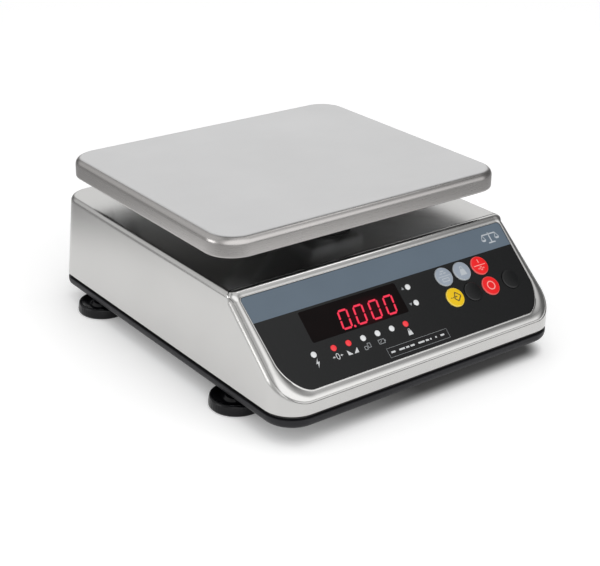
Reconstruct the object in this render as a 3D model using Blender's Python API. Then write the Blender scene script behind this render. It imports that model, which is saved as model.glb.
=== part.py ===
"""Counting scale: a stainless bench scale with a lift-off pan on a single-point load cell,
a sloping front panel with LED digits and round keys, a plastic base and four levelling feet.

World frame: metres, +Z up, front of the scale towards -Y, origin on the table under the middle of
the housing.  Sizes below are in millimetres; solid() turns them into metres.
"""

import math

import bmesh
import bpy
from mathutils import Matrix, Vector

MM = 0.001          # metres in a millimetre
GAP = 0.3           # clearance between neighbouring pieces
CORNER_STEPS = 5    # segments in a plan corner
ROUND_STEPS = 18    # segments around a turned piece

# Weighing pan: an upside-down tray
PAN_TOP = 118.0
PAN_HALF_X, PAN_HALF_Y = 120.0, 102.0
PAN_Y = 24.0                       # middle of the pan, behind the middle of the housing
PAN_CORNER, PAN_EDGE = 21.0, 6.0   # plan corner and top edge radii
PAN_SKIRT = 13.4
PAN_SHEET = 1.2

# Housing shell
SHELL_LOW, SHELL_TOP = 21.2, 84.8
SHELL_HALF_X, SHELL_HALF_Y = 119.4, 142.0
SHELL_TOP_HALF_X, SHELL_TOP_BACK = 118.2, 138.0
SHELL_FRONT_R, SHELL_BACK_R, SHELL_TOP_BACK_R = 21.0, 13.2, 20.0
SHELL_EDGE = 3.5
SHELL_SHEET = 1.2

# Sloping panel: the overlay's face, its top edge and its outline
PANEL_ANGLE = math.radians(40.7)
PANEL_Y, PANEL_Z = -83.7, 81.15
BEZEL_PROUD = 1.0                  # the shell's slope stands this far above the overlay
OVERLAY_LONG = 70.4
OVERLAY_HALF_TOP, OVERLAY_HALF_LOW = 111.8, 110.3
OVERLAY_CORNER_X, OVERLAY_CORNER_Y, OVERLAY_CORNER_POWER = 17.0, 24.0, 1.7
OVERLAY_TOP_R = 2.5
OVERLAY_THICK = 0.6

# What sits in the panel, as (across, down the slope)
WINDOW_MID, WINDOW_SIZE = (-38.2, 31.2), (79.6, 22.0)
DIGIT_PITCH, DIGIT_LAST, DIGIT_DOWN, DIGIT_COUNT = 12.6, -9.8, 33.7, 6
DIGIT_SIZE = (12.2, 19.0, 8.0)
LAMP_DOWN, LAMP_R = 49.5, 2.1
LAMP_PITCH, LAMP_LAST, LAMP_ROW = 12.0, -5.9, 6
LAMP_LONE = -81.8                  # the mains lamp, apart from the row
LIMIT_LAMPS = [(10.5, 25.8), (10.5, 38.0)]
KEY_R, KEY_STEPS = 7.1, 20
KEY_PITCH_X, KEY_FIRST_X = 16.6, 42.3
KEY_ROWS = (26.8, 43.1)
KEY_FAR_X = 94.6                   # the key set apart on the right
KEY_CROWN = 0.9                    # how far a key stands above the overlay
KEYS = {
    "key_function": (KEY_FIRST_X, KEY_ROWS[0], "key_grey"),
    "key_unit": (KEY_FIRST_X + KEY_PITCH_X, KEY_ROWS[0], "key_grey"),
    "key_zero": (KEY_FIRST_X + 2 * KEY_PITCH_X, KEY_ROWS[0], "key_red"),
    "key_tare": (KEY_FIRST_X, KEY_ROWS[1], "key_yellow"),
    "key_blank_middle": (KEY_FIRST_X + KEY_PITCH_X, KEY_ROWS[1], "key_black"),
    "key_off": (KEY_FIRST_X + 2 * KEY_PITCH_X, KEY_ROWS[1], "key_red"),
    "key_blank_right": (KEY_FAR_X, KEY_ROWS[1], "key_black"),
}

# Base
BASE_LOW, BASE_TOP, BASE_FLOOR = 12.1, 18.6, 15.1
LIP_HALF_X, LIP_TOP, LIP_THICK = 113.5, 24.0, 2.0
GASKET_INSET, GASKET_WIDE = 1.5, 3.6

# Levelling feet
FOOT_X, FOOT_FRONT_Y, FOOT_BACK_Y = 107.0, -72.8, 102.4
FOOT_R, FOOT_HIGH = 18.9, 7.5
STUD_R, STUD_TOP = 4.0, 27.0
BOSS_R, BOSS_TOP = 6.4, 22.0

# Load cell, along Y under the pan, fixed at the back and free at the front
CELL_HALF_X, CELL_LONG, CELL_LOW, CELL_HIGH = 15.0, 130.0, 34.0, 56.0
CELL_END = 35.0                    # length of each clamped end
POST_Y, POST_R = PAN_Y - CELL_LONG / 2 + CELL_END / 2, 12.0
POST_HOLE_R = 15.5                 # opening in the housing that the post passes through
DEFLECTION_ROOM = 0.8              # room that the load path keeps for its travel
HUB_LOW, HUB_HIGH, ARM_HIGH = 92.3, 98.3, 104.0
ARM_WIDE, ARM_TIP, PAD_HIGH = 16.0, (88.0, 72.0), 112.0

# Bubble level in the housing's top, under the pan
VIAL_R, VIAL_PLACE = 9.0, (-77.0, 90.0)

# Electrics
BATTERY = ((28.0, 98.0), (-10.0, 91.0), (15.5, 62.5))
HATCH_X, HATCH_Y = (24.0, 92.0), (-14.0, 84.0)
MAIN_BOARD = ((-100.0, -24.0), (-40.0, 40.0), (24.0, 25.6))
SOCKET_X, SOCKET_Z, SOCKET_R = -70.0, 42.0, 7.9

FINISHES = {
    "stainless_pan": ((0.62, 0.62, 0.63), 0.30, 1.0),
    "stainless_shell": ((0.60, 0.59, 0.57), 0.28, 1.0),
    "cast_aluminium": ((0.45, 0.46, 0.47), 0.45, 1.0),
    "machined_aluminium": ((0.70, 0.71, 0.73), 0.30, 1.0),
    "zinc_steel": ((0.55, 0.56, 0.58), 0.35, 1.0),
    "black_rubber": ((0.02, 0.02, 0.02), 0.80, 0.0),
    "base_plastic": ((0.05, 0.05, 0.055), 0.50, 0.0),
    "foot_plastic": ((0.012, 0.012, 0.013), 0.30, 0.0),
    "overlay_film": ((0.03, 0.03, 0.033), 0.35, 0.0),
    "window_red": ((0.02, 0.004, 0.004), 0.12, 0.0),
    "digit_face": ((0.10, 0.02, 0.02), 0.40, 0.0),
    "light_guide": ((0.75, 0.76, 0.78), 0.25, 0.0),
    "key_grey": ((0.29, 0.32, 0.35), 0.40, 0.0),
    "key_red": ((0.70, 0.05, 0.05), 0.40, 0.0),
    "key_yellow": ((0.75, 0.50, 0.03), 0.40, 0.0),
    "key_black": ((0.015, 0.015, 0.016), 0.30, 0.0),
    "board_green": ((0.02, 0.14, 0.06), 0.45, 0.0),
    "battery_case": ((0.04, 0.04, 0.045), 0.40, 0.0),
    "vial_green": ((0.45, 0.70, 0.25), 0.15, 0.0),
    "lead_grey": ((0.22, 0.22, 0.23), 0.60, 0.0),
}


# ---------------------------------------------------------------- tools

def clear_scene():
    for thing in list(bpy.data.objects):
        bpy.data.objects.remove(thing, do_unlink=True)


def finish_material(name):
    material = bpy.data.materials.get(name)
    if material is None:
        colour, roughness, metallic = FINISHES[name]
        material = bpy.data.materials.new(name)
        material.use_nodes = True
        shader = material.node_tree.nodes["Principled BSDF"]
        shader.inputs["Base Color"].default_value = (*colour, 1.0)
        shader.inputs["Roughness"].default_value = roughness
        shader.inputs["Metallic"].default_value = metallic
    return material


def solid(name, shape, finish=None, origin=(0.0, 0.0, 0.0)):
    """Make an object in metres from a bmesh in millimetres, with its origin where asked."""
    shape.transform(Matrix.Translation(-Vector(origin)))
    shape.transform(Matrix.Scale(MM, 4))
    bmesh.ops.recalc_face_normals(shape, faces=shape.faces)
    mesh = bpy.data.meshes.new(name)
    shape.to_mesh(mesh)
    shape.free()
    body = bpy.data.objects.new(name, mesh)
    body.location = Vector(origin) * MM
    bpy.context.scene.collection.objects.link(body)
    if finish:
        mesh.materials.append(finish_material(finish))
        mesh.shade_smooth()
        mesh.set_sharp_from_angle(angle=math.radians(32))
    return body


def combine(body, shapes, operation):
    """Apply exact Booleans with each shape in turn and remove the tools."""
    for shape in shapes:
        tool = solid("tool", shape)
        step = body.modifiers.new("step", "BOOLEAN")
        step.operation, step.solver, step.object = operation, "EXACT", tool
        bpy.context.view_layer.update()
        graph = bpy.context.evaluated_depsgraph_get()
        mesh = bpy.data.meshes.new_from_object(body.evaluated_get(graph))
        body.modifiers.remove(step)
        body.data = mesh
        bpy.data.objects.remove(tool, do_unlink=True)


def cut(body, *shapes):
    combine(body, shapes, "DIFFERENCE")


def add(body, *shapes):
    combine(body, shapes, "UNION")


def loft(rings):
    """Closed skin through rings of equal length, capped at both ends."""
    shape = bmesh.new()
    rows = [[shape.verts.new(point) for point in ring] for ring in rings]
    for low, high in zip(rows, rows[1:]):
        for i in range(len(low)):
            j = (i + 1) % len(low)
            shape.faces.new((low[i], low[j], high[j], high[i]))
    shape.faces.new(rows[0])
    shape.faces.new(rows[-1])
    return shape


def at_height(outline, z):
    return [(x, y, z) for x, y in outline]


def prism(outline, low, high):
    return loft([at_height(outline, low), at_height(outline, high)])


def box(x, y, z):
    """Block between pairs of limits."""
    outline = [(x[0], y[0]), (x[1], y[0]), (x[1], y[1]), (x[0], y[1])]
    return prism(outline, z[0], z[1])


def turned(profile, place=(0.0, 0.0, 0.0), ring=False, steps=ROUND_STEPS):
    """Turn a profile of (radius, height) about a vertical axis; a ring's profile is a loop."""
    shape = bmesh.new()
    rows = []
    for radius, height in profile:
        count = steps if radius > 0 else 1
        angles = [2 * math.pi * k / steps for k in range(count)]
        rows.append([shape.verts.new((radius * math.cos(a), radius * math.sin(a), height))
                     for a in angles])
    pairs = list(zip(rows, rows[1:]))
    if ring:
        pairs.append((rows[-1], rows[0]))
    for low, high in pairs:
        for i in range(steps):
            j = (i + 1) % steps
            corners = [low[i % len(low)], low[j % len(low)], high[j % len(high)], high[i % len(high)]]
            shape.faces.new(list(dict.fromkeys(corners)))
    shape.transform(Matrix.Translation(place))
    return shape


def rod(radius, low, high, place=(0.0, 0.0), steps=ROUND_STEPS):
    angles = [2 * math.pi * k / steps for k in range(steps)]
    return prism([(place[0] + radius * math.cos(a), place[1] + radius * math.sin(a)) for a in angles],
                 low, high)


def rounded_plan(half_x, front, back, front_r, back_r):
    """Rectangle seen from above with one radius at the front and one at the back."""
    corners = [
        (half_x - front_r, front + front_r, front_r, -90),
        (half_x - back_r, back - back_r, back_r, 0),
        (-half_x + back_r, back - back_r, back_r, 90),
        (-half_x + front_r, front + front_r, front_r, 180),
    ]
    points = []
    for x, y, radius, start in corners:
        for k in range(CORNER_STEPS + 1):
            angle = math.radians(start + 90 * k / CORNER_STEPS)
            points.append((x + radius * math.cos(angle), y + radius * math.sin(angle)))
    return points


def panel_frame():
    """From panel axes (across, up the slope, outwards) to the world."""
    c, s = math.cos(PANEL_ANGLE), math.sin(PANEL_ANGLE)
    return Matrix(((1, 0, 0, 0), (0, c, -s, PANEL_Y), (0, s, c, PANEL_Z), (0, 0, 0, 1)))


PANEL = panel_frame()


def in_panel(shape):
    shape.transform(PANEL)
    return shape


def panel_point(across, down, out=0.0):
    return PANEL @ Vector((across, -down, out))


# ---------------------------------------------------------------- weighing group

def pan_plan(inset):
    radius = PAN_CORNER - inset
    half_y = PAN_HALF_Y - inset
    return rounded_plan(PAN_HALF_X - inset, PAN_Y - half_y, PAN_Y + half_y, radius, radius)


def weighing_pan():
    """One skin from the middle of the top, over the edge, down the skirt and back inside."""
    rings = []
    edge_steps = 3
    for k in range(edge_steps + 1):
        angle = math.radians(90 * k / edge_steps)
        inset = PAN_EDGE * (1 - math.sin(angle))
        rings.append(at_height(pan_plan(inset), PAN_TOP - PAN_EDGE * (1 - math.cos(angle))))
    rings.append(at_height(pan_plan(0.0), PAN_TOP - PAN_SKIRT))
    rings.append(at_height(pan_plan(PAN_SHEET), PAN_TOP - PAN_SKIRT))
    inner = PAN_EDGE - PAN_SHEET
    for k in range(edge_steps, -1, -1):
        angle = math.radians(90 * k / edge_steps)
        inset = PAN_SHEET + inner * (1 - math.sin(angle))
        rings.append(at_height(pan_plan(inset), PAN_TOP - PAN_EDGE + inner * math.cos(angle)))
    solid("weighing_pan", loft(rings), "stainless_pan", (0, PAN_Y, PAN_TOP - PAN_SKIRT))


def spider_tips():
    signs = [(-1, -1), (1, -1), (1, 1), (-1, 1)]
    return [(sx * ARM_TIP[0], PAN_Y + sy * ARM_TIP[1]) for sx, sy in signs]


def cross_outline(tips):
    """Four straight arms that meet in notches round the middle, seen from above."""
    half, points = ARM_WIDE / 2, []
    spread = [math.atan2(y - PAN_Y, x) for x, y in tips]
    for k, (x, y) in enumerate(tips):
        along, across = spread[k], spread[k] + math.pi / 2
        for side in (-1, 1):
            points.append((x + side * half * math.cos(across), y + side * half * math.sin(across)))
        between = (spread[(k + 1) % 4] - along) % (2 * math.pi) / 2
        reach = half / math.sin(between)
        points.append((reach * math.cos(along + between), PAN_Y + reach * math.sin(along + between)))
    return points


def pan_spider():
    tips = spider_tips()
    hub = solid("pan_spider", box((-22, 22), (POST_Y - 18, PAN_Y + 40), (HUB_LOW, HUB_HIGH)),
                "cast_aluminium", (0, PAN_Y, HUB_LOW))
    add(hub, prism(cross_outline(tips), HUB_HIGH - 2, ARM_HIGH))
    add(hub, *[rod(10.0, HUB_HIGH - 1, PAD_HIGH, tip) for tip in tips])
    cut(hub, *[rod(3.4, HUB_LOW - 1, HUB_HIGH + 1, (0, y)) for y in spider_screw_places()])
    for k, tip in enumerate(tips, 1):
        profile = [(0, PAD_HIGH + GAP), (8, PAD_HIGH + GAP), (8, 115.6), (7, 116.5), (0, 116.5)]
        solid(f"pan_buffer_{k}", turned(profile, (*tip, 0), steps=14), "black_rubber", (*tip, PAD_HIGH))


def spider_screw_places():
    return [POST_Y - 7.5, POST_Y + 7.5]


def top_spacer():
    low = CELL_HIGH + DEFLECTION_ROOM
    half = CELL_END / 2 - 1
    post = solid("top_spacer", box((-14, 14), (POST_Y - half, POST_Y + half), (low, 64)),
                 "machined_aluminium", (0, POST_Y, low))
    add(post, rod(POST_R, 62, HUB_LOW - GAP, (0, POST_Y)))
    cut(post, *[rod(3.4, low - 1, HUB_LOW + 1, (0, y)) for y in spider_screw_places()])
    for k, y in enumerate(spider_screw_places(), 1):
        head = HUB_HIGH + GAP
        profile = [(0, 44), (3, 44), (3, head), (5, head), (5, head + 3), (4.2, head + 4),
                   (2.4, head + 4), (2.4, head + 1.5), (0, head + 1.5)]
        solid(f"spider_screw_{k}", turned(profile, (0, y, 0), steps=12), "zinc_steel", (0, y, 44))


def load_cell():
    """Bending beam with the two joined holes that make its thin flexures."""
    front, back = PAN_Y - CELL_LONG / 2, PAN_Y + CELL_LONG / 2
    beam = solid("load_cell", box((-CELL_HALF_X, CELL_HALF_X), (front, back), (CELL_LOW, CELL_HIGH)),
                 "machined_aluminium", (0, PAN_Y, CELL_LOW))
    middle_z = (CELL_LOW + CELL_HIGH) / 2
    eye_r, eye_apart = 8.0, 15.0
    for side in (-1, 1):
        eye = rod(eye_r, -CELL_HALF_X - 1, CELL_HALF_X + 1)
        eye.transform(Matrix.Translation((0, PAN_Y + side * eye_apart, middle_z))
                      @ Matrix.Rotation(math.pi / 2, 4, "Y"))
        cut(beam, eye)
    cut(beam, box((-CELL_HALF_X - 1, CELL_HALF_X + 1), (PAN_Y - eye_apart, PAN_Y + eye_apart),
                  (middle_z - 2, middle_z + 2)))
    cut(beam, *[rod(3.6, CELL_LOW - 1, CELL_HIGH + 1, (0, y)) for y in spider_screw_places()])
    cut(beam, *[rod(3.3, CELL_LOW - 1, 47, (0, y)) for y in cell_screw_places()])
    solid("gauge_potting", box((-13, 13), (PAN_Y - 26, PAN_Y + 26), (CELL_HIGH + GAP, CELL_HIGH + 2.3)),
          "black_rubber", (0, PAN_Y, CELL_HIGH))


def cell_screw_places():
    fixed_y = PAN_Y + CELL_LONG / 2 - CELL_END / 2
    return [fixed_y - 7.5, fixed_y + 7.5]


def cell_mounting():
    fixed_y = PAN_Y + CELL_LONG / 2 - CELL_END / 2
    half = CELL_END / 2 - 1
    low = BASE_FLOOR + GAP
    spacer = solid("bottom_spacer", box((-14, 14), (fixed_y - half, fixed_y + half), (low, CELL_LOW - GAP)),
                   "machined_aluminium", (0, fixed_y, low))
    cut(spacer, *[rod(3.4, low - 1, CELL_LOW, (0, y)) for y in cell_screw_places()])
    for k, y in enumerate(cell_screw_places(), 1):
        solid(f"cell_screw_{k}", pan_head_screw(5.2, 3.0, BASE_LOW + 0.2, 46, (0, y)), "zinc_steel",
              (0, y, BASE_LOW))
    stop_top = CELL_LOW - DEFLECTION_ROOM
    profile = [(0, BASE_LOW + 0.4), (3, BASE_LOW + 0.4), (3, BASE_FLOOR + GAP), (6, BASE_FLOOR + GAP),
               (6, 19), (3, 19), (3, stop_top - 1), (2, stop_top), (0, stop_top)]
    solid("overload_stop", turned(profile, (0, POST_Y, 0), steps=12), "zinc_steel", (0, POST_Y, BASE_LOW))


def pan_head_screw(head_r, shank_r, low, high, place, steps=12):
    """Screw driven upwards from underneath, with a hollow in its head for the driver."""
    profile = [(0, low + 0.9), (head_r * 0.45, low + 0.9), (head_r * 0.45, low), (head_r, low),
               (head_r, low + 1.5), (shank_r, low + 1.5), (shank_r, high), (0, high)]
    return turned(profile, (*place, 0), steps=steps)


def dust_boot():
    """Rubber ring on the housing with a raised lip round the post."""
    lip = POST_R + 0.6
    low = SHELL_TOP + GAP
    profile = [(20, low), (20, low + 1), (17, low + 1.4), (15, low + 4.6), (lip, low + 4.9),
               (lip, low + 3.4), (13.9, low + 3.2), (15.9, low)]
    solid("dust_boot", turned(profile, (0, POST_Y, 0), ring=True), "black_rubber", (0, POST_Y, low))


# ---------------------------------------------------------------- housing group

def shell_plan(z, inset):
    """Outline of the housing at a height: walls lean in a little towards the top."""
    rise = (z - SHELL_LOW) / (SHELL_TOP - SHELL_LOW)
    half_x = SHELL_HALF_X + (SHELL_TOP_HALF_X - SHELL_HALF_X) * rise - inset
    back = SHELL_HALF_Y + (SHELL_TOP_BACK - SHELL_HALF_Y) * rise - inset
    back_r = SHELL_BACK_R + (SHELL_TOP_BACK_R - SHELL_BACK_R) * rise - inset
    return rounded_plan(half_x, -SHELL_HALF_Y + inset, back, SHELL_FRONT_R - inset, back_r)


def housing_block(sheet, low):
    """Solid of the housing, set in by the sheet's thickness, with its sloping front."""
    top = SHELL_TOP - sheet
    radius = SHELL_EDGE - sheet
    rings = [at_height(shell_plan(low, sheet), low)]
    for k in range(4):
        angle = math.radians(90 * k / 3)
        z = top - radius + radius * math.sin(angle)
        rings.append(at_height(shell_plan(z, sheet + radius * (1 - math.cos(angle))), z))
    shape = loft(rings)
    on_slope = panel_point(0, 0, BEZEL_PROUD - sheet)
    outwards = PANEL.to_3x3() @ Vector((0, 0, 1))
    everything = shape.verts[:] + shape.edges[:] + shape.faces[:]
    sliced = bmesh.ops.bisect_plane(shape, geom=everything, plane_co=on_slope, plane_no=outwards,
                                    clear_outer=True)
    rim = [part for part in sliced["geom_cut"] if isinstance(part, bmesh.types.BMEdge)]
    bmesh.ops.contextual_create(shape, geom=rim)
    bmesh.ops.remove_doubles(shape, verts=shape.verts, dist=0.001)
    return shape


def screw_places():
    return [(sx * 106.0, y) for y in (-118.0, 127.5) for sx in (-1, 1)]


def top_housing():
    shell = solid("top_housing", housing_block(0.0, SHELL_LOW), "stainless_shell", (0, 0, SHELL_LOW))
    cut(shell, housing_block(SHELL_SHEET, SHELL_LOW - 4))
    cut(shell, in_panel(prism(overlay_outline(GAP), -6, 6)))
    cut(shell, rod(POST_HOLE_R, 80, 90, (0, POST_Y)))
    cut(shell, rod(VIAL_R + GAP, 80, 90, VIAL_PLACE))
    socket_hole = rod(SOCKET_R + GAP, -8, 8)
    socket_hole.transform(Matrix.Translation((SOCKET_X, SHELL_HALF_Y, SOCKET_Z))
                          @ Matrix.Rotation(math.pi / 2, 4, "X"))
    cut(shell, socket_hole)
    tab_low = LIP_TOP + 0.6
    for x, y in screw_places():
        wall = math.copysign(SHELL_HALF_X - SHELL_SHEET / 2, x)
        inner = math.copysign(99.0, x)
        tab = box(sorted((inner, wall)), (y - 6, y + 4), (tab_low, tab_low + SHELL_SHEET))
        add(shell, tab)
        cut(shell, rod(2.4, tab_low - 1, tab_low + 3, (x, y), steps=12))
        screw = pan_head_screw(4.2, 2.0, BASE_LOW + 0.2, 30, (x, y))
        side = "left" if x < 0 else "right"
        end = "front" if y < 0 else "back"
        solid(f"housing_screw_{end}_{side}", screw, "zinc_steel", (x, y, BASE_LOW))


def level_vial():
    """Round bubble level let into the top of the housing under the pan."""
    top = SHELL_TOP + 1.8
    profile = [(0, 77), (VIAL_R, 77), (VIAL_R, SHELL_TOP + GAP), (VIAL_R + 2, SHELL_TOP + GAP),
               (VIAL_R + 2, top - 0.6), (VIAL_R + 1.2, top), (VIAL_R - 1.5, top),
               (VIAL_R - 2, top - 0.5), (0, top - 0.2)]
    solid("level_vial", turned(profile, (*VIAL_PLACE, 0)), "vial_green", (*VIAL_PLACE, 77))


def base_plan(inset):
    return rounded_plan(SHELL_HALF_X - inset, -SHELL_HALF_Y + inset, SHELL_HALF_Y - inset,
                        SHELL_FRONT_R - inset, SHELL_BACK_R - inset)


def base_tray():
    """Shallow tray: rounded outer band, raised inner lip, floor with bosses and a hatchway."""
    lip = SHELL_HALF_X - LIP_HALF_X
    rings = [(4.2, BASE_LOW), (1.8, BASE_LOW + 0.5), (0.6, BASE_LOW + 1.9), (0.2, BASE_LOW + 4.0),
             (0.0, BASE_TOP), (lip, BASE_TOP), (lip, LIP_TOP), (lip + LIP_THICK, LIP_TOP),
             (lip + LIP_THICK, BASE_FLOOR)]
    tray = solid("base_tray", loft([at_height(base_plan(inset), z) for inset, z in rings]),
                 "base_plastic", (0, 0, BASE_LOW))
    for x, y in foot_places().values():
        add(tray, rod(BOSS_R, BASE_FLOOR - 1, BOSS_TOP, (x, y), steps=16))
    for x, y in foot_places().values():
        cut(tray, rod(STUD_R + GAP + 0.1, BASE_LOW - 1, BOSS_TOP + 1, (x, y), steps=12))
    for x, y in screw_places():
        cut(tray, rod(4.6, BASE_LOW - 1, BASE_LOW + 2.0, (x, y), steps=12))
        cut(tray, rod(2.4, BASE_LOW - 2, LIP_TOP + 1, (x, y), steps=12))
    for y in cell_screw_places():
        cut(tray, rod(5.6, BASE_LOW - 1, BASE_LOW + 2.0, (0, y), steps=12))
        cut(tray, rod(3.5, BASE_LOW - 2, BASE_FLOOR + 1, (0, y), steps=12))
    cut(tray, rod(3.5, BASE_LOW - 1, BASE_FLOOR + 1, (0, POST_Y), steps=12))
    cut(tray, box(HATCH_X, HATCH_Y, (BASE_LOW - 1, BASE_FLOOR + 1)))


def base_gasket():
    """Soft ring squeezed between the shell and the base, set back behind both."""
    low, high = BASE_TOP + GAP, SHELL_LOW - GAP
    outer, inner = GASKET_INSET, GASKET_INSET + GASKET_WIDE
    ring = solid("base_gasket", prism(base_plan(outer), low, high), "black_rubber", (0, 0, low))
    cut(ring, prism(base_plan(inner), low - 1, high + 1))


# ---------------------------------------------------------------- feet

def foot_places():
    return {
        "front_left": (-FOOT_X, FOOT_FRONT_Y), "front_right": (FOOT_X, FOOT_FRONT_Y),
        "back_left": (-FOOT_X, FOOT_BACK_Y), "back_right": (FOOT_X, FOOT_BACK_Y),
    }


def levelling_feet():
    """Round disc with a dished top, and the threaded stud that screws it into the base."""
    socket = STUD_R + 0.4
    disc = [(0, 0), (FOOT_R - 1.2, 0), (FOOT_R - 0.2, 0.8), (FOOT_R, 2.0), (FOOT_R - 0.7, FOOT_HIGH - 0.8),
            (FOOT_R - 1.6, FOOT_HIGH), (FOOT_R - 3.6, FOOT_HIGH - 0.4), (10, FOOT_HIGH - 2.6),
            (7.5, FOOT_HIGH), (socket, FOOT_HIGH), (socket, 2.5), (0, 2.5)]
    stud = [(0, 2.8), (STUD_R, 2.8), (STUD_R, STUD_TOP - 1), (STUD_R - 1, STUD_TOP), (0, STUD_TOP)]
    for name, (x, y) in foot_places().items():
        solid(f"foot_disc_{name}", turned(disc, (x, y, 0), steps=24), "foot_plastic", (x, y, 0))
        solid(f"foot_stud_{name}", turned(stud, (x, y, 0), steps=12), "zinc_steel", (x, y, 0))


# ---------------------------------------------------------------- panel group

def overlay_outline(grow):
    """Tapered sheet with small top corners and long soft lower corners, in panel axes."""
    def half(down):
        return OVERLAY_HALF_TOP + (OVERLAY_HALF_LOW - OVERLAY_HALF_TOP) * down / OVERLAY_LONG + grow
    low = -OVERLAY_LONG - grow
    reach_x, reach_y = OVERLAY_CORNER_X + grow, OVERLAY_CORNER_Y + grow
    power = 2 / OVERLAY_CORNER_POWER
    right = []
    for k in range(7):
        angle = math.radians(90 * k / 6)
        right.append((half(OVERLAY_LONG) - reach_x * (1 - math.sin(angle) ** power),
                      low + reach_y * (1 - math.cos(angle) ** power)))
    radius = OVERLAY_TOP_R + grow
    for k in range(4):
        angle = math.radians(90 * k / 3)
        right.append((half(0) - radius * (1 - math.cos(angle)), grow - radius * (1 - math.sin(angle))))
    left = [(-x, y) for x, y in reversed(right)]
    return right + left


def panel_rectangle(middle, size, grow=0.0):
    x, y = middle[0], -middle[1]
    half_x, half_y = size[0] / 2 + grow, size[1] / 2 + grow
    return [(x - half_x, y - half_y), (x + half_x, y - half_y), (x + half_x, y + half_y),
            (x - half_x, y + half_y)]


def lamp_places():
    row = [(LAMP_LAST - k * LAMP_PITCH, LAMP_DOWN) for k in range(LAMP_ROW)]
    return [(LAMP_LONE, LAMP_DOWN)] + row[::-1]


def pierce_panel(sheet, low, high, key_r, lamp_r, window_grow):
    """Openings that the overlay and its carrier share: keys, lamps and the display window."""
    for across, down, _ in KEYS.values():
        cut(sheet, in_panel(rod(key_r, low, high, (across, -down), steps=KEY_STEPS)))
    for across, down in lamp_places() + LIMIT_LAMPS:
        cut(sheet, in_panel(rod(lamp_r, low, high, (across, -down), steps=12)))
    cut(sheet, in_panel(prism(panel_rectangle(WINDOW_MID, WINDOW_SIZE, window_grow), low, high)))


def front_panel():
    anchor = panel_point(0, OVERLAY_LONG / 2)
    overlay = solid("front_overlay", in_panel(prism(overlay_outline(0.0), -OVERLAY_THICK, 0.0)),
                    "overlay_film", anchor)
    pierce_panel(overlay, -2, 2, KEY_R + GAP, LAMP_R + GAP, GAP)
    carrier_front = -OVERLAY_THICK - GAP
    carrier = solid("panel_carrier", in_panel(prism(overlay_outline(2.5), carrier_front - 2.2, carrier_front)),
                    "base_plastic", anchor)
    pierce_panel(carrier, -6, 2, KEY_R + 0.8, LAMP_R + GAP, 1.6)
    window = in_panel(prism(panel_rectangle(WINDOW_MID, WINDOW_SIZE), -OVERLAY_THICK, -0.05))
    solid("display_window", window, "window_red", panel_point(*WINDOW_MID))


def light_guides():
    """Clear mouldings: a bar behind the carrier with one short post for each lamp."""
    row = lamp_places()
    bar = box((row[0][0] - 4, row[-1][0] + 4), (-LAMP_DOWN - 3, -LAMP_DOWN + 3), (-5.2, -3.4))
    guide = solid("indicator_light_guide", in_panel(bar), "light_guide", panel_point(*row[3]))
    add(guide, *[in_panel(rod(LAMP_R - 0.05, -4, -0.1, (x, -y), steps=12)) for x, y in row])
    (x, high), (_, low) = LIMIT_LAMPS
    bar = box((x - 3, x + 3), (-low - 4, -high + 4), (-5.2, -3.4))
    guide = solid("limit_light_guide", in_panel(bar), "light_guide", panel_point(x, high))
    add(guide, *[in_panel(rod(LAMP_R - 0.05, -4, -0.1, (a, -d), steps=12)) for a, d in LIMIT_LAMPS])


def keys():
    """Round key: plunger, retaining flange under the overlay and a low crown."""
    for name, (across, down, finish) in KEYS.items():
        profile = [(0, -4.0), (2, -4.0), (2, -2.4), (KEY_R + 0.5, -2.4), (KEY_R + 0.5, -1.3),
                   (KEY_R, -1.3), (KEY_R, 0.25), (KEY_R - 0.6, KEY_CROWN - 0.2), (0, KEY_CROWN)]
        cap = turned(profile, (across, -down, 0), steps=KEY_STEPS)
        solid(name, in_panel(cap), finish, panel_point(across, down))


def boards():
    """Circuit boards behind the panel, the digits on one and the switches on the other."""
    face = -1.3
    for k in range(DIGIT_COUNT):
        across = DIGIT_LAST - DIGIT_PITCH * (DIGIT_COUNT - 1 - k)
        half_x, half_y = DIGIT_SIZE[0] / 2, DIGIT_SIZE[1] / 2
        middle = (across, -DIGIT_DOWN)
        block = box((middle[0] - half_x, middle[0] + half_x), (middle[1] - half_y, middle[1] + half_y),
                    (face - DIGIT_SIZE[2], face))
        solid(f"led_digit_{k + 1}", in_panel(block), "digit_face", panel_point(across, DIGIT_DOWN))
    top = face - DIGIT_SIZE[2] - GAP
    board = solid("display_board", in_panel(box((-92, 22), (-60, -14), (top - 1.6, top))),
                  "board_green", panel_point(-35, 37))
    add(board, *[in_panel(rod(2.5, top - 1, -5.6, (x, -y), steps=8)) for x, y in lamp_places()])
    keypad = solid("keypad_board", in_panel(box((31, 106), (-54, -16), (-7.0, -5.4))),
                   "board_green", panel_point(68, 35))
    add(keypad, *[in_panel(rod(2.6, -6, -4.8, (x, -y), steps=8)) for x, y, _ in KEYS.values()])


# ---------------------------------------------------------------- electrics

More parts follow.
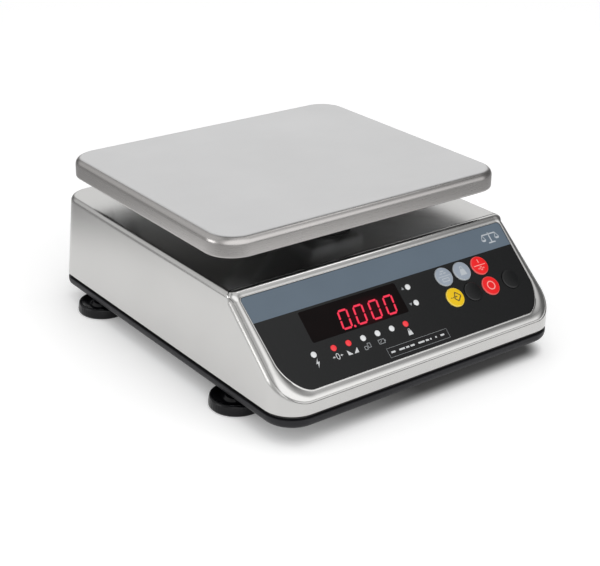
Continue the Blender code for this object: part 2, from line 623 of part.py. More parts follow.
def power_pack():
    (x0, x1), (y0, y1), (z0, z1) = BATTERY
    case = solid("battery", box((x0, x1), (y0, y1), (z0, z1)), "battery_case", (x0, y0, z0))
    add(case, box((x0 + 8, x0 + 14), (y0 - 4, y0 + 1), (z1 - 14, z1 - 13)),
        box((x1 - 14, x1 - 8), (y0 - 4, y0 + 1), (z1 - 14, z1 - 13)))
    low, high, strap = BASE_FLOOR + GAP, z1 + GAP, 1.5
    arch = [(x0 - 10, low), (x0 - GAP, low), (x0 - GAP, high), (x1 + GAP, high), (x1 + GAP, low),
            (x1 + 8, low), (x1 + 8, low + strap), (x1 + GAP + strap, low + strap),
            (x1 + GAP + strap, high + strap), (x0 - GAP - strap, high + strap),
            (x0 - GAP - strap, low + strap), (x0 - 10, low + strap)]
    band = prism(arch, -8, 8)
    band.transform(Matrix.Translation((0, 45, 0)) @ Matrix.Rotation(math.pi / 2, 4, "X"))
    solid("battery_bracket", band, "zinc_steel", (x0, 45, low))
    hatch_low, hatch_high = BASE_LOW + 0.2, BASE_FLOOR - 0.1
    hatch = solid("battery_hatch", box((HATCH_X[0] + GAP, HATCH_X[1] - GAP),
                                       (HATCH_Y[0] + GAP, HATCH_Y[1] - GAP), (hatch_low, hatch_high)),
                  "base_plastic", (HATCH_X[0], HATCH_Y[0], hatch_low))
    screw_x, screw_y = HATCH_X[0] + 34, HATCH_Y[0] + 5
    cut(hatch, rod(4.6, BASE_LOW - 1, BASE_LOW + 1.9, (screw_x, screw_y), steps=12))
    cut(hatch, rod(1.9, BASE_LOW - 2, BASE_FLOOR + 1, (screw_x, screw_y), steps=12))
    solid("hatch_screw", pan_head_screw(4.2, 1.5, BASE_LOW + 0.2, BASE_FLOOR + 0.1, (screw_x, screw_y)),
          "zinc_steel", (screw_x, screw_y, BASE_LOW))


def power_socket():
    """Round inlet through the back wall: a deep cup for the plug with a contact pin in it."""
    cup = [(0, -22), (SOCKET_R - 1.4, -22), (SOCKET_R, -20), (SOCKET_R, -0.3), (SOCKET_R - 0.4, 0),
           (5.6, 0), (5.6, -14), (1.2, -14), (1.2, -7.4), (0.6, -7), (0, -7)]
    shape = turned(cup)
    face_y = SHELL_HALF_Y - 0.2
    shape.transform(Matrix.Translation((SOCKET_X, face_y, SOCKET_Z)) @ Matrix.Rotation(-math.pi / 2, 4, "X"))
    solid("power_socket", shape, "base_plastic", (SOCKET_X, face_y, SOCKET_Z))


def main_board():
    board = solid("main_board", box(*MAIN_BOARD), "board_green", (MAIN_BOARD[0][0], MAIN_BOARD[1][0], 24))
    top = MAIN_BOARD[2][1]
    parts = [((-92, -70), (-30, -8), 14), ((-60, -44), (-28, -12), 3), ((-40, -30), (-30, 10), 8),
             ((-90, -74), (6, 22), 9), ((-62, -46), (4, 30), 6)]
    add(board, *[box(x, y, (top - 0.5, top + high)) for x, y, high in parts])
    corners = [(x, y) for x in (-96, -28) for y in (-36, 36)]
    add(board, *[rod(3.0, BASE_FLOOR + GAP, MAIN_BOARD[2][0] + 0.5, place, steps=8) for place in corners])


def lead(name, knots, radius):
    """Insulated lead along a smooth curve through its knots."""
    knots = [Vector(point) * MM for point in knots]
    padded = [2 * knots[0] - knots[1], *knots, 2 * knots[-1] - knots[-2]]
    points = []
    for a, b, c, d in zip(padded, padded[1:], padded[2:], padded[3:]):
        for k in range(3):
            t = k / 3
            points.append(0.5 * (2 * b + (c - a) * t + (2 * a - 5 * b + 4 * c - d) * t ** 2
                                 + (3 * b - a - 3 * c + d) * t ** 3))
    points.append(knots[-1])
    curve = bpy.data.curves.new(name, "CURVE")
    curve.dimensions = "3D"
    curve.bevel_depth, curve.bevel_resolution, curve.use_fill_caps = radius * MM, 2, True
    spline = curve.splines.new("POLY")
    spline.points.add(len(points) - 1)
    for slot, point in zip(spline.points, points):
        slot.co = (*point, 1.0)
    curve.materials.append(finish_material("lead_grey"))
    bpy.context.scene.collection.objects.link(bpy.data.objects.new(name, curve))


def ribbon(name, knots, width, thick):
    """Flat ribbon cable: a strip swept along a polyline in a plane across X."""
    outer = [(y, z + thick / 2) for y, z in knots]
    inner = [(y, z - thick / 2) for y, z in reversed(knots)]
    middle = -50.0
    strip = prism(outer + inner, middle - width / 2, middle + width / 2)
    strip.transform(Matrix(((0, 0, 1, 0), (1, 0, 0, 0), (0, 1, 0, 0), (0, 0, 0, 1))))
    solid(name, strip, "lead_grey", (middle, knots[0][0], knots[0][1]))


def inner_leads():
    lead("load_cell_lead", [(-15.6, 76, 45), (-22, 74, 44), (-30, 60, 38), (-34, 48, 33), (-36, 38, 29.5)],
         1.5)
    start, end = (-41.5, 30.0), (-98.0, 46.0)
    steps = 10
    knots = []
    for k in range(steps + 1):
        t = k / steps
        knots.append((start[0] + (end[0] - start[0]) * t, start[1] + (end[1] - start[1]) * t
                      - 8.0 * math.sin(math.pi * t)))
    ribbon("display_ribbon", knots, 20.0, 0.8)


def build():
    clear_scene()
    weighing_pan()
    pan_spider()
    top_spacer()
    load_cell()
    cell_mounting()
    dust_boot()
    top_housing()
    level_vial()
    base_tray()
    base_gasket()
    levelling_feet()
    front_panel()
    light_guides()
    keys()
    boards()
    power_pack()
    power_socket()
    main_board()
    inner_leads()


build()
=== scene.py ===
"""Looks of the counting scale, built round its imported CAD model.

Lengths are millimetres, +Z up and the front towards -Y, unless a comment says metres; piece() turns
them into metres.  Panel axes are (across, up the slope, outwards) from the overlay's top edge.
"""

import math

import bmesh
import bpy
from mathutils import Matrix, Vector
from mathutils.bvhtree import BVHTree
from mathutils.geometry import interpolate_bezier


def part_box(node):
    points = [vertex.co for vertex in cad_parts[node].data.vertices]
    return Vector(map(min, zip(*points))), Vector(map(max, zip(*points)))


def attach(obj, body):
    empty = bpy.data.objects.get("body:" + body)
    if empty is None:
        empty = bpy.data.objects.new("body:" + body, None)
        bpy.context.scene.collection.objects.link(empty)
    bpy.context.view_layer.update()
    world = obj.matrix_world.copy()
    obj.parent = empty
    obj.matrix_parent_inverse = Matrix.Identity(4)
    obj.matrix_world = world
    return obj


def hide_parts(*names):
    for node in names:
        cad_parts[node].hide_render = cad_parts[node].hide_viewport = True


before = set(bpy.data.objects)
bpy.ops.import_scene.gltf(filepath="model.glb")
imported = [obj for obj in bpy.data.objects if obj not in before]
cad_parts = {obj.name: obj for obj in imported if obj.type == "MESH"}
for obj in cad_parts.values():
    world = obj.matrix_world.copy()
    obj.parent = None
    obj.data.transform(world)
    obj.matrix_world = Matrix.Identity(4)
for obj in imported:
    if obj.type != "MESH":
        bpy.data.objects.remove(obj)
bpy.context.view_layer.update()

MM = 0.001

# ---- sizes, from the frame where it has them


def span(node):
    """Lowest and highest corner of a CAD node in millimetres."""
    low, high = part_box(node)
    return low / MM, high / MM


def middle_of(node):
    low, high = span(node)
    return (low + high) / 2


PAN_LOW, PAN_HIGH = span("weighing_pan")
PAN_CORNER, PAN_EDGE, PAN_SHEET = 21.0, 5.0, 1.2

SHELL_LOW, SHELL_HIGH = span("top_housing")
SHELL_TOP_HALF_X = SHELL_HIGH.x - 1.2  # the walls lean in a little towards the top
SHELL_TOP_BACK = SHELL_HIGH.y - 4.0
SHELL_FRONT_R, SHELL_BACK_R, SHELL_TOP_BACK_R = 21.0, 13.2, 20.0
SHELL_SHEET = 1.2
EDGE_R, SLOPE_EDGE_R = 4.0, 7.0  # rounding between walls and roof, and along the slope
RIDGE_R, RIDGE_LEAST_R = 4.4, 0.4  # rounding from the slope to the flat top, and its least inside
POST_HOLE_R, VIAL_HOLE_R, SOCKET_HOLE_R = 15.5, 9.3, 8.2

PANEL_ANGLE = math.radians(40.7)
PANEL_COS, PANEL_SIN = math.cos(PANEL_ANGLE), math.sin(PANEL_ANGLE)
OVERLAY_LONG = 70.4
OVERLAY_LOW, OVERLAY_HIGH = span("front_overlay")
PANEL_Z = OVERLAY_HIGH.z
PANEL_Y = OVERLAY_LOW.y + OVERLAY_LONG * PANEL_COS
OVERLAY_HALF_TOP, OVERLAY_HALF_LOW = OVERLAY_HIGH.x, OVERLAY_HIGH.x - 1.5
OVERLAY_CORNER_X, OVERLAY_CORNER_Y, OVERLAY_CORNER_POWER = 17.0, 24.0, 1.7
OVERLAY_TOP_R, OVERLAY_THICK = 2.5, 0.6
STRIP_LONG = 18.4  # the slate strip across the top of the overlay
SLOPE_PROUD = 0.5  # the shell's slope above the overlay's face
GAP = 0.3

POST = middle_of("top_spacer")
VIAL = middle_of("level_vial")
SOCKET = middle_of("power_socket")
BASE_LOW, BASE_HIGH = span("base_tray")
GASKET_LOW, GASKET_HIGH = span("base_gasket")

KEY_CROWN, KEY_R = 0.9, 7.1
LAMP_R = 2.1

# From panel axes to the frame's, and a point on the shell's slope
PANEL = Matrix(((1, 0, 0, 0),
                (0, PANEL_COS, -PANEL_SIN, PANEL_Y),
                (0, PANEL_SIN, PANEL_COS, PANEL_Z),
                (0, 0, 0, 1)))
SLOPE_START = PANEL @ Vector((0, 0, SLOPE_PROUD))


# ---- mesh tools

def loft(rings, cap_first=True, cap_last=True, loop=False):
    """Skin through closed rings of equal length."""
    shape = bmesh.new()
    rows = [[shape.verts.new(point) for point in ring] for ring in rings]
    pairs = list(zip(rows, rows[1:]))
    if loop:
        pairs.append((rows[-1], rows[0]))
    for low, high in pairs:
        for i in range(len(low)):
            j = (i + 1) % len(low)
            shape.faces.new((low[i], low[j], high[j], high[i]))
    if cap_first and not loop:
        shape.faces.new(rows[0])
    if cap_last and not loop:
        shape.faces.new(rows[-1])
    return shape


def prism(outline, low, high):
    return loft([[(x, y, z) for x, y in outline] for z in (low, high)])


def circle(x, y, radius, steps):
    angles = [2 * math.pi * k / steps for k in range(steps)]
    return [(x + radius * math.cos(a), y + radius * math.sin(a)) for a in angles]


def block(x, y, z):
    return prism([(x[0], y[0]), (x[1], y[0]), (x[1], y[1]), (x[0], y[1])], *z)


def turned(profile, x, y, steps, flute=None):
    """Turn a profile of (radius, height) about Z at x, y; flute(angle) scales the radius of marked rows."""
    rings, first, last = [], profile[0][0] == 0, profile[-1][0] == 0
    for row in profile:
        radius, height = max(row[0], 1e-3), row[1]
        fluted = flute is not None and len(row) > 2
        ring = []
        for k in range(steps):
            angle = 2 * math.pi * k / steps
            r = radius * (flute(angle) if fluted else 1.0)
            ring.append((x + r * math.cos(angle), y + r * math.sin(angle), height))
        rings.append(ring)
    return loft(rings, cap_first=first, cap_last=last, loop=not (first and last))


def arc(centre, radius, start, end, steps):
    """Points of a profile along an arc, angles in degrees."""
    angles = [math.radians(start + (end - start) * k / steps) for k in range(steps + 1)]
    return [(centre[0] + radius * math.cos(a), centre[1] + radius * math.sin(a)) for a in angles]


def merged(shapes):
    """One bmesh that holds several separate shapes."""
    whole = bmesh.new()
    for shape in shapes:
        mesh = bpy.data.meshes.new("part")
        shape.to_mesh(mesh)
        shape.free()
        whole.from_mesh(mesh)
        bpy.data.meshes.remove(mesh)
    return whole


def on_panel(shape):
    shape.transform(PANEL)
    return shape


def mesh_object(name, shape):
    shape.transform(Matrix.Scale(MM, 4))
    bmesh.ops.recalc_face_normals(shape, faces=shape.faces)
    mesh = bpy.data.meshes.new(name)
    shape.to_mesh(mesh)
    shape.free()
    thing = bpy.data.objects.new(name, mesh)
    bpy.context.scene.collection.objects.link(thing)
    return thing


def carve(thing, cutters):
    """Cut each cutter out with an exact Boolean and remove it."""
    for shape in cutters:
        cutter = mesh_object("cutter", shape)
        step = thing.modifiers.new("cut", "BOOLEAN")
        step.operation, step.solver, step.object = "DIFFERENCE", "EXACT", cutter
        bpy.context.view_layer.update()
        graph = bpy.context.evaluated_depsgraph_get()
        thing.data = bpy.data.meshes.new_from_object(thing.evaluated_get(graph))
        thing.modifiers.clear()
        bpy.data.objects.remove(cutter, do_unlink=True)


def piece(name, shape, finish, body="housing", stands_for=(), sharp=35.0, cutters=()):
    """A finished piece that rides on a body and takes the look of its finish."""
    thing = mesh_object(name, shape)
    if cutters:
        carve(thing, cutters)
    finishes = [finish] if isinstance(finish, str) else finish
    for one in finishes:
        thing.data.materials.append(look(one))
    thing.data.shade_smooth()
    thing.data.set_sharp_from_angle(angle=math.radians(sharp))
    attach(thing, body)
    if stands_for:
        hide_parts(*stands_for)
    return thing


# ---- materials

def new_material(name):
    material = bpy.data.materials.new(name)
    material.use_nodes = True
    nodes = material.node_tree.nodes
    return material, nodes, nodes["Principled BSDF"]


def join(output, socket):
    """Link an output to an input socket, in the tree that holds them."""
    socket.id_data.links.new(output, socket)


def settle(node, values):
    """Set sockets of a node that aren't linked."""
    for socket, value in values.items():
        node.inputs[socket].default_value = value


def noise(nodes, scale, stretch=(1, 1, 1), detail=3.0, rough=0.5):
    """Noise in the piece's own place, finer along the axes that are stretched most."""
    mapping = nodes.new("ShaderNodeMapping")
    mapping.inputs["Scale"].default_value = stretch
    join(nodes.new("ShaderNodeTexCoord").outputs["Object"], mapping.inputs["Vector"])
    texture = nodes.new("ShaderNodeTexNoise")
    settle(texture, {"Scale": scale, "Detail": detail, "Roughness": rough})
    join(mapping.outputs["Vector"], texture.inputs["Vector"])
    return texture.outputs["Fac"]


def mixed(nodes, factor, one, two, begins=0.3, ends=0.7):
    """Colour that turns from one to two as the factor runs from begins to ends."""
    ramp = nodes.new("ShaderNodeValToRGB")
    for stop, position, colour in zip(ramp.color_ramp.elements, (begins, ends), (one, two)):
        stop.position, stop.color = position, (*colour, 1.0)
    join(factor, ramp.inputs["Fac"])
    return ramp.outputs["Color"]


def ranged(nodes, value, low, high, begins=0.3, ends=0.7, soft=False):
    """Map a value that runs from begins to ends onto low to high."""
    step = nodes.new("ShaderNodeMapRange")
    step.interpolation_type = "SMOOTHSTEP" if soft else "LINEAR"
    settle(step, {"From Min": begins, "From Max": ends, "To Min": low, "To Max": high})
    join(value, step.inputs["Value"])
    return step.outputs["Result"]


def combined(nodes, operation, one, two):
    """Math node on a socket and another socket or number."""
    step = nodes.new("ShaderNodeMath")
    step.operation = operation
    join(one, step.inputs[0])
    if isinstance(two, float):
        step.inputs[1].default_value = two
    else:
        join(two, step.inputs[1])
    return step.outputs["Value"]


def vector_step(nodes, operation, vector, other=(0, 0, 0)):
    """Vector Math node; a length or a product comes out as a number."""
    step = nodes.new("ShaderNodeVectorMath")
    step.operation = operation
    join(vector, step.inputs[0])
    step.inputs[1].default_value = other
    return step.outputs["Value" if operation in ("LENGTH", "DOT_PRODUCT") else "Vector"]


def bumped(nodes, shader, height, strength, distance):
    bump = nodes.new("ShaderNodeBump")
    settle(bump, {"Strength": strength, "Distance": distance})
    join(height, bump.inputs["Height"])
    join(bump.outputs["Normal"], shader.inputs["Normal"])


def shaded(colour, by):
    return tuple(max(0.0, min(1.0, part * by)) for part in colour)


def recipe(make):
    """Call make without the name, which look() gives later."""
    return lambda *values, **named: lambda name: make(name, *values, **named)


@recipe
def brushed_metal(name, colour, roughness, stretch, line_scale, line_bump):
    """Satin steel: fine lines along one direction, and slow changes of tone and polish."""
    material, nodes, shader = new_material(name)
    slow = noise(nodes, 14.0, detail=4.0)
    lines = noise(nodes, line_scale, stretch, detail=5.0, rough=0.6)
    join(mixed(nodes, slow, shaded(colour, 0.97), shaded(colour, 1.03)), shader.inputs["Base Color"])
    join(ranged(nodes, lines, roughness * 0.95, roughness * 1.05), shader.inputs["Roughness"])
    shader.inputs["Metallic"].default_value = 1.0
    bumped(nodes, shader, lines, line_bump, 0.0002)
    return material


@recipe
def moulded(name, colour, roughness, grain=900.0, bump=0.12, metallic=0.0, mottle=0.12, coat=0.0, shine=0.5):
    """Moulded or cast surface: fine grain and a slight change of tone."""
    material, nodes, shader = new_material(name)
    slow = noise(nodes, 35.0)
    fine = noise(nodes, grain, detail=2.0)
    join(mixed(nodes, slow, shaded(colour, 1 - mottle), shaded(colour, 1 + mottle)),
         shader.inputs["Base Color"])
    join(ranged(nodes, fine, roughness * 0.88, roughness * 1.12), shader.inputs["Roughness"])
    settle(shader, {"Metallic": metallic, "Coat Weight": coat, "Specular IOR Level": shine})
    bumped(nodes, shader, fine, bump, 0.0001)
    return material


@recipe
def glowing(name, colour, strength):
    """Lit lens or segment: its emission varies slightly over the face, as light pipes do."""
    material, nodes, shader = new_material(name)
    slow = noise(nodes, 400.0, detail=1.0)
    tone = mixed(nodes, slow, shaded(colour, 0.92), colour)
    join(tone, shader.inputs["Emission Color"])
    join(mixed(nodes, slow, shaded(colour, 0.35), shaded(colour, 0.4)), shader.inputs["Base Color"])
    settle(shader, {"Emission Strength": strength, "Roughness": 0.35})
    return material


def circuit_board(name):
    """Green solder mask over tracks, which a brick pattern lays out in fine lines."""
    material, nodes, shader = new_material(name)
    tracks = nodes.new("ShaderNodeTexBrick")
    settle(tracks, {"Color1": (0.012, 0.13, 0.055, 1), "Color2": (0.010, 0.10, 0.045, 1),
                    "Mortar": (0.03, 0.24, 0.11, 1), "Scale": 320.0, "Mortar Size": 0.06})
    join(nodes.new("ShaderNodeTexCoord").outputs["Object"], tracks.inputs["Vector"])
    join(tracks.outputs["Color"], shader.inputs["Base Color"])
    shader.inputs["Roughness"].default_value = 0.35
    bumped(nodes, shader, tracks.outputs["Fac"], 0.2, 0.0001)
    return material


GLOW_REACH = 12.5  # of the digits' glow, above and below their middle


def display_glass(name):
    """Dark red window with the digits' glow around them."""
    material, nodes, shader = new_material(name)
    slow = noise(nodes, 60.0, detail=2.0)
    join(mixed(nodes, slow, (0.0035, 0.0022, 0.0022), (0.005, 0.0028, 0.0028)),
         shader.inputs["Base Color"])
    settle(shader, {"Roughness": 0.16, "Specular IOR Level": 0.08, "Emission Strength": 0.5})
    first, last = span("led_digit_3")[0], span("led_digit_6")[1]
    mapping = nodes.new("ShaderNodeMapping")
    mapping.vector_type = "TEXTURE"
    half = (last.x - first.x) / 2
    settle(mapping, {"Location": (first + last) / 2 * MM,
                     "Scale": Vector((half * 1.05, GLOW_REACH, GLOW_REACH)) * MM})
    join(nodes.new("ShaderNodeTexCoord").outputs["Object"], mapping.inputs["Vector"])
    ball = nodes.new("ShaderNodeTexGradient")
    ball.gradient_type = "SPHERICAL"
    join(mapping.outputs["Vector"], ball.inputs["Vector"])
    join(mixed(nodes, ball.outputs["Fac"], (0, 0, 0), (0.05, 0.0, 0.004), 0.0, 0.6),
         shader.inputs["Emission Color"])
    return material


LOOKS = {
    "stainless_pan": brushed_metal((0.60, 0.60, 0.602), 0.32, (1, 30, 30), 40.0, 0.01),
    # The skirt's steel is brushed round the pan, and its darker tone is painted shade on the skirt and the
    # edge's rounding; the underside's still darker tone is painted shade under the pan.
    "skirt_brushing_and_shade": brushed_metal((0.475, 0.46, 0.45), 0.28, (1, 1, 40), 40.0, 0.10),
    "underside_painted_shade": brushed_metal((0.20, 0.20, 0.20), 0.45, (1, 30, 30), 40.0, 0.01),
    "stainless_shell": brushed_metal((0.565, 0.56, 0.55), 0.25, (30, 30, 1), 40.0, 0.008),
    "bezel_steel": brushed_metal((0.60, 0.595, 0.585), 0.16, (30, 30, 30), 40.0, 0.004),
    "cast_aluminium": moulded((0.42, 0.43, 0.44), 0.5, 500.0, 0.5, metallic=1.0),
    "machined_aluminium": brushed_metal((0.70, 0.71, 0.73), 0.3, (30, 1, 1), 90.0, 0.08),
    "zinc_steel": moulded((0.55, 0.56, 0.58), 0.34, 700.0, 0.1, metallic=1.0),
    "black_rubber": moulded((0.018, 0.018, 0.018), 0.75, 700.0, 0.3),
    "base_plastic": moulded((0.013, 0.013, 0.015), 0.45, 1200.0, 0.10, shine=0.2),
    "foot_plastic": moulded((0.002, 0.002, 0.003), 0.22, 900.0, 0.05, shine=0.25),
    "overlay_film": moulded((0.0028, 0.0032, 0.0036), 0.24, 1400.0, 0.04, shine=0.42),
    "overlay_slate": moulded((0.099, 0.132, 0.168), 0.34, 1400.0, 0.04, mottle=0.03, shine=0.4),
    "window_red": display_glass,
    "digit_face": moulded((0.10, 0.02, 0.02), 0.4),
    "digit_lit": glowing((0.80, 0.020, 0.062), 0.82),
    "lamp_white": moulded((0.68, 0.69, 0.70), 0.25, 600.0, 0.03, mottle=0.03, coat=0.3),
    "lamp_red": glowing((0.80, 0.035, 0.045), 0.72),
    "light_guide": moulded((0.75, 0.76, 0.78), 0.25),
    "key_grey": moulded((0.275, 0.315, 0.370), 0.38, 1200.0, 0.05, mottle=0.04, shine=0.3),
    "key_red": moulded((0.75, 0.010, 0.012), 0.36, 1200.0, 0.05, mottle=0.03, shine=0.25),
    "key_yellow": moulded((0.72, 0.465, 0.006), 0.36, 1200.0, 0.05, mottle=0.03, shine=0.25),
    "key_black": moulded((0.0028, 0.0032, 0.0036), 0.24, 1400.0, 0.04, shine=0.42),
    # The keys' rims: lighter copies of the keys' colours, a painted highlight on their rounded edges.
    "rim_grey": moulded((0.40, 0.43, 0.45), 0.3, 1200.0, 0.05, mottle=0.04),
    "rim_red": moulded((0.80, 0.12, 0.11), 0.3, 1200.0, 0.05, mottle=0.04),
    "rim_yellow": moulded((0.85, 0.64, 0.10), 0.3, 1200.0, 0.05, mottle=0.04),
    "board_green": circuit_board,
    "battery_case": moulded((0.035, 0.035, 0.04), 0.45, 600.0, 0.2),
    "vial_green": moulded((0.40, 0.62, 0.12), 0.12, 300.0, 0.02, coat=0.5),
    "lead_grey": moulded((0.18, 0.18, 0.19), 0.55, 400.0, 0.2),
}
PRINT_COLOURS = {"white": (0.55, 0.56, 0.57), "grey": (0.24, 0.25, 0.26), "pale": (0.42, 0.45, 0.48),
                 "rose": (0.85, 0.36, 0.33), "dark": (0.10, 0.07, 0.01)}
for tint, colour in PRINT_COLOURS.items():
    LOOKS["print_" + tint] = moulded(colour, 0.45 if tint == "rose" else 0.5, 1500.0, 0.05, mottle=0.03)


def look(name):
    return bpy.data.materials.get("look_" + name) or LOOKS[name]("look_" + name)


# ---- weighing pan

def rounded_plan(half_x, front, back, radius, z, steps=14, back_radius=None):
    """Closed outline at a height, symmetric in x, with round corners."""
    back_r = back_radius or radius
    corners = ((1, front + radius, radius, -90), (1, back - back_r, back_r, 0),
               (-1, back - back_r, back_r, 90), (-1, front + radius, radius, 180))
    return [(x, y, z) for side, cy, r, start in corners
            for x, y in arc((side * (half_x - r), cy), r, start, start + 90, steps)]


# From the edge's rounding on, rows take the skirt's darker steel, painted shade; the rows that face down or
# inwards take the underside's painted shade.
LAST_TOP_ROW, LAST_SKIRT_ROW = 3, 14  # of the pan's profile; later rows face down or inwards


def weighing_pan():
    """Upside-down tray in one sheet: flat top, rounded edge, skirt with a rolled lip, hollow beneath."""
    low, top = PAN_LOW.z, PAN_HIGH.z
    profile = [(PAN_EDGE + 1.5, top), (PAN_EDGE + 0.2, top)]
    profile += [(PAN_EDGE + x, top - PAN_EDGE + y) for x, y in arc((0, 0), PAN_EDGE, 90, 180, 9)]
    profile += [(0.0, low + 1.2), (0.0, low + 0.6), (0.18, low + 0.18), (0.6, low),
                (1.02, low + 0.18), (PAN_SHEET, low + 0.6)]
    inner = PAN_EDGE - PAN_SHEET
    profile += [(PAN_EDGE + x, top - PAN_EDGE + y) for x, y in arc((0, 0), inner, 180, 90, 7)]
    profile += [(PAN_EDGE + 1.5, top - PAN_SHEET)]
    rings = [rounded_plan(PAN_HIGH.x - inset, PAN_LOW.y + inset, PAN_HIGH.y - inset, PAN_CORNER - inset, z)
             for inset, z in profile]
    shape = loft(rings)
    shape.faces.index_update()
    # The skirt's and the underside's darker steels are painted shade.
    for face in shape.faces:
        row = face.index // len(rings[0])
        top_cap = row == len(profile) - 1 and face.index % len(rings[0]) == 0
        face.material_index = 0 if row <= LAST_TOP_ROW or top_cap else 1 if row <= LAST_SKIRT_ROW else 2
    piece("pan_tray", shape, ["stainless_pan", "skirt_brushing_and_shade", "underside_painted_shade"], "pan", ["weighing_pan"],
          sharp=50)


# ---- housing shell

def ridge_arc(sink):
    """Radius of the rounding from slope to top, sink below both, and its middle in y and z."""
    radius = max(RIDGE_R - sink, RIDGE_LEAST_R)
    middle_z = SHELL_HIGH.z - sink - radius
    middle_y = SLOPE_START.y + ((middle_z - SLOPE_START.z) * PANEL_COS + sink + radius) / PANEL_SIN
    return radius, middle_y, middle_z


def roof(y, sink):
    """Height and outward normal, at y, of the surface that lies sink below the slope and the top."""
    radius, middle_y, middle_z = ridge_arc(sink)
    lean = (middle_y - y) / radius
    if lean <= 0:
        return SHELL_HIGH.z - sink, Vector((0, 0, 1))
    if lean >= PANEL_SIN:
        z = SLOPE_START.z + ((y - SLOPE_START.y) * PANEL_SIN - sink) / PANEL_COS
        return z, Vector((0, -PANEL_SIN, PANEL_COS))
    rise = math.sqrt(1 - lean * lean)
    return middle_z + radius * rise, Vector((0, -lean, rise))


def ridge_columns(steps=8):
    """Places in y where the roof's rounding from slope to top starts, passes and ends."""
    radius, middle_y, _ = ridge_arc(EDGE_R)
    return [middle_y - radius * math.sin(PANEL_ANGLE * (1 - k / steps)) for k in range(steps + 1)]


def wall_point(column, z, inset):
    """Point and outward direction on the wall, set in, at a column of the outline."""
    side, zone, value = column
    rise = (z - SHELL_LOW.z) / (SHELL_HIGH.z - SHELL_LOW.z)
    half_x = SHELL_HIGH.x + (SHELL_TOP_HALF_X - SHELL_HIGH.x) * rise - inset
    if zone == "side":
        return Vector((side * half_x, value, z)), Vector((side, 0, 0))
    back = SHELL_HIGH.y + (SHELL_TOP_BACK - SHELL_HIGH.y) * rise - inset
    back_r = SHELL_BACK_R + (SHELL_TOP_BACK_R - SHELL_BACK_R) * rise - inset
    radius, turn = (SHELL_FRONT_R - inset, -1) if zone == "front" else (back_r, 1)
    centre_y = SHELL_LOW.y + inset + radius if zone == "front" else back - radius
    angle = math.radians(value)
    out = Vector((side * math.cos(angle), turn * math.sin(angle), 0))
    return Vector((side * (half_x - radius), centre_y, z)) + radius * out, out


def smooth(value):
    value = max(0.0, min(1.0, value))
    return value * value * (3 - 2 * value)


def edge_radius(column):
    """The rounding is larger beside and below the slope than round the flat top."""
    _, zone, value = column
    if zone == "side":
        ridge = ridge_columns()
        return SLOPE_EDGE_R + (EDGE_R - SLOPE_EDGE_R) * smooth((value - ridge[0]) / (ridge[-1] - ridge[0]))
    return SLOPE_EDGE_R if zone == "front" else EDGE_R


def rim_point(column, sheet, share, further=0.0):
    """Point on the rounding between wall and roof: share 0 is on the wall and 1 on the roof."""
    radius = edge_radius(column) - sheet
    z = SHELL_HIGH.z / 2
    for _ in range(5):
        centre, out = wall_point(column, z, sheet + radius + further)
        z, up = roof(centre.y, sheet + radius)
    centre.z = z
    angle = out.angle(up)
    towards = (out * math.sin((1 - share) * angle) + up * math.sin(share * angle)) / math.sin(angle)
    return centre + radius * towards


LOW_EDGE = 0.35  # softening at the shell's lower edge and at the upper edge of the base's band
ROOF_BAND = 0.8  # width of the first band inside the edge's rounding


def shell_solid(sheet, low, steps=14, edge_steps=10):
    """Closed solid of the housing, set in by the sheet's thickness."""
    ridge = ridge_columns()
    corner = [90 * k / steps for k in range(steps + 1)]
    right = [(1, "front", a) for a in reversed(corner)] + [(1, "side", y) for y in ridge]
    right += [(1, "back", a) for a in corner]
    left = [(-1, zone, value) for _, zone, value in reversed(right)]
    columns = right + left
    rings = [[wall_point(col, low, sheet + LOW_EDGE)[0] for col in columns],
             [wall_point(col, low + LOW_EDGE, sheet)[0] for col in columns]]
    rings += [[rim_point(col, sheet, k / edge_steps) for col in columns] for k in range(edge_steps + 1)]
    rings.append([rim_point(col, sheet, 1.0, further=ROOF_BAND) for col in columns])
    shape = loft(rings, cap_last=False)
    shape.verts.ensure_lookup_table()
    last = shape.verts[len(shape.verts) - len(columns):]
    first, count, total = len(corner), len(ridge), len(columns)
    mirror = [total - 1 - k for k in range(total)]
    shape.faces.new([last[k] for k in range(first + 1)] + [last[mirror[k]] for k in range(first, -1, -1)])
    for k in range(first, first + count - 1):
        shape.faces.new((last[k], last[k + 1], last[mirror[k + 1]], last[mirror[k]]))
    end = first + count - 1
    shape.faces.new([last[k] for k in range(end, total - end)])
    return shape


def top_housing():
    """Sheet shell, open for the panel within the crease line, and bored for post, level and socket."""
    cutters = [
        shell_solid(SHELL_SHEET, SHELL_LOW.z - 4),
        on_panel(loft([[(p.x, p.y, p.z - 1.6) for p in CREASES], [(p.x, p.y, 9) for p in CREASES]])),
    ]
    cutters += [prism(circle(place.x, place.y, radius, 48), SHELL_HIGH.z - 5, SHELL_HIGH.z + 5)
                for place, radius in ((POST, POST_HOLE_R), (VIAL, VIAL_HOLE_R))]
    hole = prism(circle(0, 0, SOCKET_HOLE_R, 48), -8, 8)
    upright = Matrix.Rotation(math.pi / 2, 4, "X")
    hole.transform(Matrix.Translation((SOCKET.x, SHELL_HIGH.y, SOCKET.z)) @ upright)
    cutters.append(hole)
    piece("housing_shell", shell_solid(0.0, SHELL_LOW.z), "stainless_shell", "housing", ["top_housing"],
          cutters=cutters)


# ---- panel: overlay and bezel

def overlay_column(side, zone, value, grow):
    """Point of the overlay's outline, grown outwards, in panel axes."""
    half_low, half_top = OVERLAY_HALF_LOW + grow, OVERLAY_HALF_TOP + grow
    if zone == "low":
        angle, power = math.radians(value), 2 / OVERLAY_CORNER_POWER
        reach_x, reach_y = OVERLAY_CORNER_X + grow, OVERLAY_CORNER_Y + grow
        return (side * (half_low - reach_x * (1 - math.cos(angle) ** power)),
                -OVERLAY_LONG - grow + reach_y * (1 - math.sin(angle) ** power))
    angle, radius = math.radians(value), OVERLAY_TOP_R + grow
    return (side * (half_top - radius * (1 - math.cos(angle))), grow - radius * (1 - math.sin(angle)))


